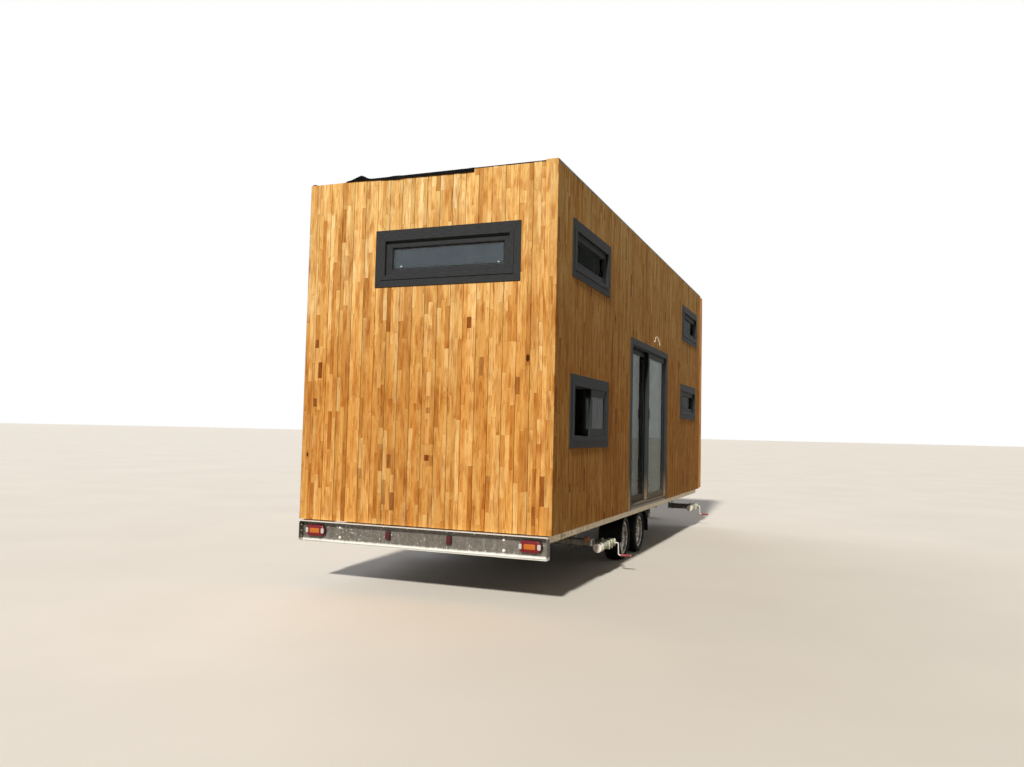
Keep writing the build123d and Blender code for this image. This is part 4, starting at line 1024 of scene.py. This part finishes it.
# What is drawn with X across, Y up and Z out stands in the plane of the right side
in_side = Matrix(((0, 0, 1), (1, 0, 0), (0, 1, 0))).to_4x4()
for name, low, high, body in (
    ("door_fixed", fixed_low, fixed_high, "house"), ("door_sliding", slide_low, slide_high, "door_leaf"),
):
    wide, tall = high.y - low.y, high.z - low.z
    border = 2 * stile_width + 0.001
    leaf = mitred_ring(name, wide, tall, stile_width, 0, leaf_depth, 0.0015, 0.005)
    seals, spacer, panes = glazing(wide - border, tall - border, leaf_depth - 0.008)
    to_leaf = Matrix.Translation((low.x, (low.y + high.y) / 2, (low.z + high.z) / 2)) @ in_side
    moved(to_leaf, leaf, seals, spacer, *panes)
    panes = join(name + "_panes", panes)
    seals.name = name + "_seals"
    spacer.name = name + "_spacer"
    if body == "door_leaf":
        # A shell pull screwed on the closing stile: a raised rim round a finger hollow
        pull_rim = mitred_ring("pull", pull_width, pull_height, pull_border, 0, 0.011, 0.002, 0.002)
        pull_back = bar("pull_back", (-0.010, -0.055, 0), (0.010, 0.055, 0.003), 0.001)
        at = (slide_low.x + leaf_depth, slide_low.y + stile_width / 2, pull_level)
        moved(Matrix.Translation(at) @ in_side, pull_rim, pull_back)
        leaf = join("door_sliding", [leaf, pull_rim, pull_back])
    for piece, material, slot in (
        (leaf, foil_frames, "frame_foil"), (seals, seal_rubber, "rubber"),
        (spacer, spacer_metal, "galvanised_steel"), (panes, side_glass, "glass"),
    ):
        coat(material, piece)
        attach(piece, body)
    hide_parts(name + "_leaf")
    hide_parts(name + "_glass")


# Trailer frame
# Folded and rolled steel sections, welded and then dipped in molten zinc, left bare.
# The zinc has dulled to a warm grey with faint crystals, white bloom in the corners and road dust low down.
rail_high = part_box("side_rails")[1]
beam_low, beam_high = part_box("rear_beam")
beam_skin = 0.006
bolt_across = 0.019
bolt_head = 0.008
washer_thickness = 0.0016
# The beam's studs, and the bolts behind the rear end of each rail
stud_across = 0.815
stud_inset = 0.050
rail_bolt_places = (0.350, 0.400)
rail_bolt_drop = 0.030


def zinc_coat(name, metal, dark, middle, light, dust, bloom, highlight_below=None):
    """Zinc with 10 to 25 mm crystals, road dust and white bloom, painted glints, and painted highlights below a
    given height and at the top.
    """
    material, tree, place, shader = finish(name, Metallic=metal)
    crystals = add(
        tree, "ShaderNodeTexVoronoi", {"Vector": place, "Scale": 55, "Randomness": 1.0}, feature="F1",
    )
    crystal_dice = add(tree, "ShaderNodeSeparateColor", {"Color": crystals.outputs["Color"]})
    crystal_tone = add(
        tree, "ShaderNodeValToRGB", {"Fac": crystal_dice.outputs["Red"]},
        [(0.0, dark), (0.5, middle), (1.0, light)],
    )
    runs_place = add(tree, "ShaderNodeMapping", {"Vector": place, "Scale": (1.7, 1.7, 0.35)})
    runs = add(
        tree, "ShaderNodeTexNoise", {"Vector": runs_place, "Scale": 24.0, "Detail": 8, "Roughness": 0.72},
    )
    run_tone = add(tree, "ShaderNodeValToRGB", {"Fac": runs}, [(0.33, dust), (0.5, bloom), (0.62, "#FFFFFF")])
    aged = add(
        tree, "ShaderNodeMix", {"Factor": 1.0, 6: crystal_tone, 7: run_tone},
        data_type="RGBA", blend_type="MULTIPLY",
    )
    # Small pimples and drops of zinc are painted near white, as painted glints where they catch the light
    drops = add(tree, "ShaderNodeTexNoise", {"Vector": place, "Scale": 42.0, "Detail": 2})
    bright = add(
        tree, "ShaderNodeMapRange", {"Value": drops, "From Min": 0.66, "From Max": 0.72, "To Max": 0.7},
    )
    # Painted highlights where the flanges catch the sun: a ragged band at the bottom and a band along the top edge
    if highlight_below:
        height = add(tree, "ShaderNodeSeparateXYZ", {"Vector": place}).outputs["Z"]
        ragged = add(tree, "ShaderNodeMath", {0: runs, 1: -0.030, 2: height}, operation="MULTIPLY_ADD")
        painted_low_highlight = add(
            tree, "ShaderNodeMapRange",
            {"Value": ragged, "From Min": highlight_below, "From Max": highlight_below + 0.014, "To Min": 0.85, "To Max": 0},
        )
        top = beam_high.z - 0.010
        rim = add(
            tree, "ShaderNodeMapRange",
            {"Value": height, "From Min": top - 0.006, "From Max": top, "To Max": 0.95},
        )
        for thick in (painted_low_highlight, rim):
            bright = add(tree, "ShaderNodeMath", {0: bright, 1: thick}, operation="MAXIMUM")
    aged = add(tree, "ShaderNodeMix", {"Factor": bright, 6: aged, 7: linear("#E9EAE7")}, data_type="RGBA")
    rough = add(tree, "ShaderNodeMapRange", {"Value": runs, "To Min": 0.42, "To Max": 0.72})
    relief = add(tree, "ShaderNodeBump", {"Height": runs, "Strength": 0.12, "Distance": 0.004})
    link(shader, {"Base Color": aged, "Roughness": rough, "Normal": relief})
    return material


galvanised = zinc_coat(
    "hot_dip_galvanised_steel", 0.4, "#7E7D7A", "#8A8986", "#989793", "#B0A99D", "#DCD8D0",
)
# The rear beam's copy is a darker zinc that also carries painted highlights along its bottom and top
beam_zinc_painted_highlights = zinc_coat(
    "hot_dip_galvanised_steel_painted_highlights", 0.4, "#72706D", "#7B7976", "#86837F", "#C8C4BD", "#E8E5E0",
    highlight_below=beam_low.z + 0.002,
)
# The side rails' copy is paler and warmer, partly as sheet zinc and partly as painted light for the ground's bounce
# on their shaded side
rail_zinc_painted_light = zinc_coat("galvanised_sheet_steel_painted_light", 0.65, "#D2CAB8", "#DDD5C3", "#E6DFCF", "#B4A68A", "#E4DAC2")
fresh_zinc = zinc_coat("galvanised_tube_steel", 0.25, "#DCDED4", "#E8EADF", "#F5F6EE", "#6C6B5E", "#CFD0C4")
for name in (
    "main_beams", "cross_members", "low_beam", "drawbar", "coupling_head", "jockey_stand", "axle_beams",
    "jack_hangers",
):
    coat(galvanised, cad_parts[name])
coat(beam_zinc_painted_highlights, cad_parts["rear_beam"])
coat(rail_zinc_painted_light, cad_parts["side_rails"])

# Electroplated zinc, brighter and smoother than the dipped steel, with a thin dull film
zinc_plated, tree, place, shader = finish("zinc_plated_steel", Metallic=0.15)
film = add(tree, "ShaderNodeTexNoise", {"Vector": place, "Scale": 25, "Detail": 6, "Roughness": 0.6})
film_tone = add(tree, "ShaderNodeValToRGB", {"Fac": film}, [(0.35, "#E6E5DE"), (0.6, "#FBFAF6")])
tarnish = add(tree, "ShaderNodeMapRange", {"Value": film, "To Min": 0.28, "To Max": 0.5})
link(shader, {"Base Color": film_tone, "Roughness": tarnish})


def hex_bolt(across, thickness):
    """A hexagon bolt head with a chamfered top and its washer, standing on Z = 0."""
    washer = disc("washer", across * 0.68, 0, washer_thickness, 20)
    head = disc("head", across * 0.577, washer_thickness, washer_thickness + thickness, 6)
    shape_edges(
        head, lambda edge: all(corner.co.z > thickness for corner in edge.verts), bpy.ops.mesh.bevel,
        offset=across * 0.06, segments=1,
    )
    return join("bolt", [washer, head])


def facing(origin, out):
    """A matrix that stands a thing drawn up Z at a place, pointing out."""
    return Matrix.Translation(origin) @ Vector(out).to_track_quat("Z", "Y").to_matrix().to_4x4()


bolt = hex_bolt(bolt_across, bolt_head)
bolts = []
for x in (-stud_across, stud_across):
    for z in (beam_low.z + stud_inset, beam_high.z - stud_inset):
        bolts.append(copy_to(bolt, facing((x, beam_high.y - beam_skin, z), (0, -1, 0))))
for side in (-1, 1):
    for y in rail_bolt_places:
        at = (side * rail_high.x, rear_face + y, clad_low.z - rail_bolt_drop)
        bolts.append(copy_to(bolt, facing(at, (side, 0, 0))))
frame_bolts = join("trailer_bolts", bolts)
coat(zinc_plated, frame_bolts)
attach(frame_bolts, "house")


# Lamps on the rear beam
# Sealed polycarbonate lens welded on a black housing, held by two studs through the beam's web.
# Each tail lamp is red all over, with clear reversing and fog zones at its ends and amber between them.
housing_depth = 0.024
small_housing_depth = 0.012
lens_inset = 0.004
zone_depth = 0.0022
# Each tail lamp's zones, as (distance along the lamp, width, height, tone)
lamp_zones = (
    (-0.087, 0.027, 0.046, "clear"), (0.081, 0.030, 0.046, "clear"), (-0.004, 0.102, 0.044, "amber"),
)


def lens_finish(name, deep, bright):
    """Moulded polycarbonate with light and dark bands from the ribs inside, drawn 6 to 8 mm apart to show."""
    material, tree, place, shader = finish(
        name, Roughness=0.2, Specular_IOR_Level=0.3, Coat_Weight=0.2, Coat_Roughness=0.08,
    )
    ribs, facets = (
        add(tree, "ShaderNodeTexWave", {"Vector": place, "Scale": scale}, bands_direction=way).outputs["Fac"]
        for scale, way in ((52.0, "X"), (40.0, "Z"))
    )
    both = add(tree, "ShaderNodeMath", {0: ribs, 1: facets}, operation="MULTIPLY")
    lit = add(tree, "ShaderNodeValToRGB", {"Fac": both}, [(0.0, deep), (1.0, bright)])
    relief = add(tree, "ShaderNodeBump", {"Height": ribs, "Strength": 0.3, "Distance": 0.0008})
    link(shader, {"Base Color": lit, "Normal": relief})
    return material


red_lens = lens_finish("polycarbonate_lens_red", "#5E0C14", "#A81E26")
dark_red_lens = lens_finish("polycarbonate_lens_dark_red", "#3E080E", "#7A121C")
clear_lens = lens_finish("polycarbonate_lens_clear", "#B9BBBF", "#F2F2F4")
amber_lens = lens_finish("polycarbonate_lens_amber", "#B4601C", "#EE9433")

# Moulded ABS, black with a fine spark texture
lamp_housing, tree, place, shader = finish("abs_housing_black", Roughness=0.5, IOR=1.53)
sparks = add(tree, "ShaderNodeTexNoise", {"Vector": place, "Scale": 900, "Detail": 1})
abs_tone = add(tree, "ShaderNodeValToRGB", {"Fac": sparks}, [(0.3, "#111112"), (0.7, "#1E1E20")])
link(shader, {"Base Color": abs_tone})


def rounded_block(name, wide, tall, depth, corner, edge, segments=6):
    """A block on Z = 0 with upright corners rounded and its top edge eased."""
    block = cuboid(name, (-wide / 2, -tall / 2, 0), (wide / 2, tall / 2, depth))
    shape_edges(
        block, lambda side: abs(side.verts[0].co.z - side.verts[1].co.z) > depth / 2,
        bpy.ops.mesh.bevel, offset=corner, segments=segments,
    )
    shape_edges(
        block, lambda side: all(v.co.z > depth - 0.00001 for v in side.verts),
        bpy.ops.mesh.bevel, offset=edge, segments=3,
    )
    bpy.ops.object.shade_smooth_by_angle(angle=math.radians(35))
    return block


lamp_pieces = {"housing": [], "red": [], "dark_red": [], "clear": [], "amber": []}
for lamp_low, lamp_high in solids_of("rear_lamps"):
    wide, deep, tall = lamp_high - lamp_low
    middle = (lamp_low + lamp_high) / 2
    to_web = Matrix.Translation((middle.x, lamp_high.y, middle.z)) @ laid_back
    if wide > tall:
        back = housing_depth
        housing = rounded_block("lamp_housing", wide, tall, back, tall / 2 - 0.0005, 0.002, 10)
        lens = rounded_block(
            "lamp_lens", wide - lens_inset, tall - lens_inset, deep - back - 0.001,
            tall / 2 - 0.003, 0.006, 10,
        )
        lamp_pieces["red"].append(lens)
        for shift, zone_wide, zone_tall, tone in lamp_zones:
            zone = rounded_block("lamp_zone", zone_wide, zone_tall, zone_depth, 0.008, 0.001, 4)
            lamp_pieces[tone] += moved(to_web @ Matrix.Translation((shift, 0, deep - zone_depth)), zone)
    else:
        back = small_housing_depth
        housing = rounded_block("lamp_housing", wide, tall, back, 0.006, 0.001)
        lens = rounded_block("lamp_lens", wide - 0.008, tall - 0.006, deep - back, 0.006, 0.003)
        lamp_pieces["dark_red"].append(lens)
    moved(to_web @ Matrix.Translation((0, 0, back)), lens)
    lamp_pieces["housing"] += moved(to_web, housing)
for name, group, material, slot in (
    ("lamp_housings", "housing", lamp_housing, "black_plastic"),
    ("tail_lamp_lenses", "red", red_lens, "red_lens"),
    ("small_lamp_lenses", "dark_red", dark_red_lens, "red_lens"),
    ("clear_zones", "clear", clear_lens, "red_lens"),
    ("amber_zones", "amber", amber_lens, "amber_lens"),
):
    lamp_part = join(name, lamp_pieces[group])
    coat(material, lamp_part)
    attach(lamp_part, "house")
    if name == "tail_lamp_lenses":
        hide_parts("rear_lamps")


# Side markers
# A round amber reflector screwed to a tab at each end of the low beam, its domed lens in a black rubber ring.
# The lens is moulded with a fine pattern behind a smooth face.
ring_depth = 0.006
ring_width = 0.003
screw_radius = 0.009
screw_depth = 0.004
screw_sunk = 0.0001

marker_rings = []
marker_lenses = []
for marker_low, marker_high in solids_of("side_markers"):
    middle = (marker_low + marker_high) / 2
    radius = (marker_high.z - marker_low.z) / 2
    deep = marker_high.y - marker_low.y
    ring = ease(disc("ring", radius, 0, ring_depth, 40), 0.0015)
    dome = ease(disc("dome", radius - ring_width, ring_depth, deep, 40), 0.007, segments=5)
    bpy.ops.object.shade_smooth_by_angle(angle=math.radians(40))
    screw_top = deep - screw_sunk
    screw = ease(disc("screw", screw_radius, screw_top - screw_depth, screw_top), 0.0012)
    moved(facing((middle.x, marker_high.y, middle.z), (0, -1, 0)), ring, dome, screw)
    marker_rings += [ring, screw]
    marker_lenses.append(dome)
for name, pieces, material, slot in (
    ("marker_rings", marker_rings, seal_rubber, "rubber"),
    ("marker_lenses", marker_lenses, amber_lens, "amber_lens"),
):
    marker_part = join(name, pieces)
    coat(material, marker_part)
    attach(marker_part, "house")
    if name == "marker_lenses":
        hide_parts("side_markers")


# Tyres
# Low commercial radial tyres of natural and carbon-black rubber, with four grooves round a ribbed tread.
# The sidewalls are satin with a few moulded ribs, and grey dust clings to the shoulders.
tyre_rubber, tree, place, shader = finish("tyre_rubber", Roughness=0.7, Specular_IOR_Level=0.15)
wrap = add(tree, "ShaderNodeUVMap", uv_map="tread")
spread = add(tree, "ShaderNodeSeparateXYZ", {"Vector": wrap})
# Sipes every 14 mm cross the tread ribs: U counts them round the wheel, V is 1 on the tread and 0 elsewhere
sipe_wave = add(tree, "ShaderNodeMath", {0: spread.outputs["X"], 1: 1.0}, operation="PINGPONG")
sipe = add(tree, "ShaderNodeMapRange", {"Value": sipe_wave, "From Max": 0.18})
off_tread = add(tree, "ShaderNodeMath", {0: 1.0, 1: spread.outputs["Y"]}, operation="SUBTRACT")
ridge = add(tree, "ShaderNodeMath", {0: sipe, 1: off_tread}, operation="MAXIMUM")
dust = add(tree, "ShaderNodeTexNoise", {"Vector": place, "Scale": 14, "Detail": 8, "Roughness": 0.7})
rubber_tone = add(
    tree, "ShaderNodeValToRGB", {"Fac": dust}, [(0.4, "#111112"), (0.6, "#1A1A1A"), (0.8, "#3A3630")],
)
# The sipes are painted dark in the colour as well, as painted shade in the slits
siped_painted_shade = add(
    tree, "ShaderNodeMix", {"Factor": 0.8, 6: rubber_tone, 7: ridge}, data_type="RGBA", blend_type="MULTIPLY",
)
relief = add(tree, "ShaderNodeBump", {"Height": ridge, "Strength": 0.6, "Distance": 0.003})
link(shader, {"Base Color": siped_painted_shade, "Normal": relief})

tyre_low, tyre_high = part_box("tyre_rear_right")
tyre_radius = (tyre_high.z - tyre_low.z) / 2
tyre_half = (tyre_high.x - tyre_low.x) / 2
bead_radius = 0.167
bead_half = 0.0715
rim_edge_radius = 0.183
groove_depth = 0.006
groove_half = 0.0045
groove_slope = 0.0015
sipe_pitch = 0.014
corners = ("rear_right", "rear_left", "front_right", "front_left")


def turned(name, outline, steps):
    """A closed outline of (radius, distance) points spun once round X, its faces turned outward."""
    bpy.ops.object.select_all(action="DESELECT")
    bpy.ops.mesh.primitive_circle_add(vertices=len(outline), radius=1, fill_type="NOTHING")
    piece = bpy.context.object
    piece.name = name
    for vertex, (radius, distance) in zip(piece.data.vertices, outline):
        vertex.co = (distance, 0, radius)
    bpy.ops.object.mode_set(mode="EDIT")
    bpy.ops.mesh.select_all(action="SELECT")
    bpy.ops.mesh.spin(steps=steps, angle=math.tau, center=(0, 0, 0), axis=(1, 0, 0))
    bpy.ops.mesh.select_all(action="SELECT")
    bpy.ops.mesh.remove_doubles(threshold=0.00002)
    bpy.ops.mesh.normals_make_consistent(inside=False)
    bpy.ops.object.mode_set(mode="OBJECT")
    bpy.ops.object.shade_smooth_by_angle(angle=math.radians(28))
    return piece


def mirrored(outline):
    """The other side of an outline, in the other order, so that it goes on round."""
    return [(radius, -distance) for radius, distance in reversed(outline)]


floor_half = groove_half - groove_slope
floor_radius = tyre_radius - groove_depth
grooves = []
for groove in (-0.052, -0.018, 0.018, 0.052):
    grooves += [
        (tyre_radius, groove - groove_half), (floor_radius, groove - floor_half),
        (floor_radius, groove + floor_half), (tyre_radius, groove + groove_half),
    ]
# The sidewall from its shoulder down to the rim, as (radius, how far it bulges), with two moulded ribs
bulges = [
    (tyre_radius - 0.0015, 0.003), (0.246, 0.0125), (0.238, 0.0195), (0.230, 0.0225), (0.2215, 0.0248),
    (0.219, 0.0258), (0.210, 0.0250), (0.2075, 0.0262), (0.205, 0.0245), (rim_edge_radius + 0.008, 0.018),
]
outside = [(radius, tyre_half - 0.026 + bulge) for radius, bulge in bulges]
outside += [(rim_edge_radius + 0.003, bead_half), (bead_radius, bead_half)]
inside = [
    (bead_radius, bead_half - 0.016), (rim_edge_radius + 0.008, bead_half - 0.012),
    (0.214, tyre_half - 0.012), (0.238, tyre_half - 0.028),
]
tyre_model = turned("tyre", mirrored(outside) + grooves + outside + inside + mirrored(inside), 88)
chart = tyre_model.data.uv_layers.new(name="tread")
sipes_round = round(math.tau * tyre_radius / sipe_pitch)
for face in tyre_model.data.polygons:
    base = math.atan2(face.center.y, face.center.z) / math.tau * sipes_round
    rib = 1.0 if math.hypot(face.center.y, face.center.z) > tyre_radius - 0.0012 else 0.0
    for index in face.loop_indices:
        corner = tyre_model.data.vertices[tyre_model.data.loops[index].vertex_index].co
        turns = math.atan2(corner.y, corner.z) / math.tau * sipes_round
        turns += sipes_round * round((base - turns) / sipes_round)
        chart.data[index].uv = (turns * 2, rib)
for corner in corners:
    wheel_low, wheel_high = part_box(f"tyre_{corner}")
    dressed_tyre = copy_to(
        tyre_model, Matrix.Translation((wheel_low + wheel_high) / 2), f"road_tyre_{corner}",
    )
    coat(tyre_rubber, dressed_tyre)
    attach(dressed_tyre, f"wheel_{corner}")
    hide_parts(f"tyre_{corner}")
drop(tyre_model)


# Rims and wheel bolts
# Pressed steel discs welded in rolled rims, sprayed silver, each held by five conical bolts round the hub.
# Brake dust has browned the inside of the vents, and the bolts are bare zinc.
bolt_circle = 0.049
disc_face = 0.042
bolts_round = 5

silver_paint, tree, place, shader = finish("steel_rim_silver_lacquer", Metallic=0.5, Coat_Weight=0.15)
grime = add(tree, "ShaderNodeTexNoise", {"Vector": place, "Scale": 18, "Detail": 8, "Roughness": 0.65})
rim_tone = add(
    tree, "ShaderNodeValToRGB", {"Fac": grime}, [(0.34, "#66615B"), (0.5, "#A3A09A"), (0.64, "#DAD8D4")],
)
rough = add(tree, "ShaderNodeMapRange", {"Value": grime, "To Min": 0.5, "To Max": 0.28})
link(shader, {"Base Color": rim_tone, "Roughness": rough})
for corner in corners:
    coat(silver_paint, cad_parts[f"rim_{corner}"])
    wheel_low, wheel_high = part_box(f"tyre_{corner}")
    hub = (wheel_low + wheel_high) / 2
    side = 1 if hub.x > 0 else -1
    ring = []
    for turn in range(bolts_round):
        angle = math.tau * turn / bolts_round
        at = hub + Vector((side * disc_face, bolt_circle * math.sin(angle), bolt_circle * math.cos(angle)))
        ring.append(copy_to(bolt, facing(at, (side, 0, 0))))
    wheel_bolts = join(f"wheel_bolts_{corner}", ring)
    coat(zinc_plated, wheel_bolts)
    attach(wheel_bolts, f"wheel_{corner}")
drop(bolt)


# Mudguards and swing arms
# Each guard is one vacuum-formed sheet of black polyethylene; the arms are black-painted castings.
# Both are dull, and the guard has the fine leather grain of its mould.
guard_sheet, tree, place, shader = finish("polyethylene_sheet_black", Roughness=0.6, Specular_IOR_Level=0.12)
leather = add(tree, "ShaderNodeTexVoronoi", {"Vector": place, "Scale": 380})
mud = add(tree, "ShaderNodeTexNoise", {"Vector": place, "Scale": 4, "Detail": 8, "Roughness": 0.7})
guard_tone = add(
    tree, "ShaderNodeValToRGB", {"Fac": mud}, [(0.4, "#151516"), (0.62, "#232324"), (0.85, "#3B3833")],
)
relief = add(
    tree, "ShaderNodeBump", {"Height": leather.outputs["Distance"], "Strength": 0.25, "Distance": 0.0006},
)
link(shader, {"Base Color": guard_tone, "Normal": relief})
coat(guard_sheet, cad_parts["mudguards"])

# Sand-cast iron under a thin black paint, rough and faintly glossy
painted_iron, tree, place, shader = finish("cast_iron_black_paint", Roughness=0.45, Metallic=0.1)
casting = add(tree, "ShaderNodeTexNoise", {"Vector": place, "Scale": 160, "Detail": 4})
iron_tone = add(tree, "ShaderNodeValToRGB", {"Fac": casting}, [(0.3, "#161617"), (0.7, "#2A2A2B")])
relief = add(tree, "ShaderNodeBump", {"Height": casting, "Strength": 0.35, "Distance": 0.0012})
link(shader, {"Base Color": iron_tone, "Normal": relief})
coat(painted_iron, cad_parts["swing_arms"])


# Swivel jacks
# A steel tube that turns on a plate by the rail, with an inner leg, a round foot and a cranked handle.
# The tube is galvanised; foot, leg and handle are plated brighter, and a red plastic grip sits on the handle.
grip_length = 0.112
grip_radius = 0.0134
handle_radius = 0.0066
handle_inset = 0.013

# Moulded polypropylene, a waxy red that the sun has faded
red_plastic, tree, place, shader = finish("polypropylene_grip_red", Roughness=0.42, IOR=1.49)
fade = add(tree, "ShaderNodeTexNoise", {"Vector": place, "Scale": 30, "Detail": 4})
grip_tone = add(tree, "ShaderNodeValToRGB", {"Fac": fade}, [(0.3, "#7A282E"), (0.7, "#983A40")])
link(shader, {"Base Color": grip_tone})
grip_outline = [
    (handle_radius, 0.0), (grip_radius, 0.0), (grip_radius + 0.0016, 0.003), (grip_radius + 0.0016, 0.006),
    (grip_radius, 0.010), (grip_radius + 0.0006, grip_length / 2), (grip_radius, grip_length - 0.010),
    (grip_radius + 0.0006, grip_length - 0.004), (grip_radius - 0.004, grip_length), (0.0002, grip_length),
    (0.0002, grip_length - 0.001), (handle_radius, grip_length - 0.002),
]
for corner in corners:
    coat(fresh_zinc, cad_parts[f"jack_tube_{corner}"])
    coat(zinc_plated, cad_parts[f"jack_leg_{corner}"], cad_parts[f"jack_crank_{corner}"])
    crank_low, crank_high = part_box(f"jack_crank_{corner}")
    grip = turned(f"crank_grip_{corner}", grip_outline, 32)
    start = Vector((crank_high.x - grip_length, crank_high.y - handle_inset, crank_low.z + handle_inset))
    outward = 0
    if crank_low.x < 0:
        start.x = crank_low.x + grip_length
        outward = math.pi
    moved(Matrix.Translation(start) @ Matrix.Rotation(outward, 4, "Z"), grip)
    coat(red_plastic, grip)
    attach(grip, f"crank_{corner}")


# Jockey wheel
# A solid rubber tyre pressed on a galvanised disc wheel with a plain bush, folded up by the drawbar.
# The wheel stands straight ahead, its axle across the house.
wheel_low, wheel_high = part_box("jockey_wheel")
jockey_middle = (wheel_low + wheel_high) / 2
jockey_radius = (wheel_high.z - wheel_low.z) / 2
jockey_half = (wheel_high.x - wheel_low.x) / 2
tyre_side = [
    (jockey_radius - 0.002, jockey_half - 0.014), (jockey_radius - 0.010, jockey_half - 0.004),
    (0.094, jockey_half), (0.080, jockey_half - 0.004),
]
disc_side = [(0.0802, 0.026), (0.072, 0.024), (0.060, 0.004), (0.022, 0.006), (0.022, 0.026), (0.0084, 0.026)]
jockey_tyre = turned("jockey_tyre", mirrored(tyre_side) + [(jockey_radius, 0.0)] + tyre_side, 56)
jockey_disc = turned("jockey_disc", mirrored(disc_side) + disc_side, 56)
for piece, material, slot in (
    (jockey_tyre, seal_rubber, "rubber"), (jockey_disc, galvanised, "galvanised_steel"),
):
    moved(Matrix.Translation(jockey_middle), piece)
    coat(material, piece)
    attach(piece, "house")
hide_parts("jockey_wheel")


# Ground and light
# A plain pale floor under a white surround, with a sun behind the viewer's left shoulder and a soft even sky.
# The side with the door stands in its own shade.
bpy.ops.object.select_all(action="DESELECT")
bpy.ops.mesh.primitive_plane_add(size=900)
ground = settle("ground")


def looked_at(tree):
    """One where a ray comes from the camera, a reflection or a pane, and none where it only carries light."""
    rays = add(tree, "ShaderNodeLightPath").outputs
    direct = add(
        tree, "ShaderNodeMath", {0: rays["Is Camera Ray"], 1: rays["Is Glossy Ray"]}, operation="MAXIMUM",
    )
    return add(tree, "ShaderNodeMath", {0: direct, 1: rays["Is Transmission Ray"]}, operation="MAXIMUM")


# The floor looks pale but throws back only as much light as sand would
pale_floor, tree, place, shader = finish("pale_floor", Roughness=0.9)
mottle = add(tree, "ShaderNodeTexNoise", {"Vector": place, "Scale": 0.5, "Detail": 3})
pale = add(tree, "ShaderNodeValToRGB", {"Fac": mottle}, [(0.3, "#ECEAE6"), (0.7, "#F2F0EC")])
floor_tone = add(
    tree, "ShaderNodeMix", {"Factor": looked_at(tree), 6: linear("#6E5B3E"), 7: pale}, data_type="RGBA",
)
link(shader, {"Base Color": floor_tone})
coat(pale_floor, ground)

world = bpy.data.worlds.new("surround")
bpy.context.scene.world = world
world.use_nodes = True
sky = world.node_tree
sky.nodes.clear()
fill = add(sky, "ShaderNodeBackground", {"Color": linear("#FFEAC6"), "Strength": 0.078})
white = add(sky, "ShaderNodeBackground", {"Color": linear("#FFFFFF"), "Strength": 1.0})
mixed = add(sky, "ShaderNodeMixShader", {0: looked_at(sky), 1: fill, 2: white})
add(sky, "ShaderNodeOutputWorld", {"Surface": mixed})

# A hard sun, and a broad weak one for the sky's light on the front and the left side
for name, energy, angle, sheen, toward in (
    ("sun", 3.7, 4, "#FFF6E8", (0.085, -1.0, 0.68)), ("back", 0.9, 50, "#F6F8FF", (-0.66, 0.62, 0.55)),
):
    lamp = bpy.data.lights.new(name, "SUN")
    lamp.energy = energy
    lamp.angle = math.radians(angle)
    lamp.color = linear(sheen)[:3]
    light = bpy.data.objects.new(name, lamp)
    bpy.context.scene.collection.objects.link(light)
    light.matrix_world = facing((0, 0, 0), toward)
bpy.context.scene.view_settings.view_transform = "Standard"
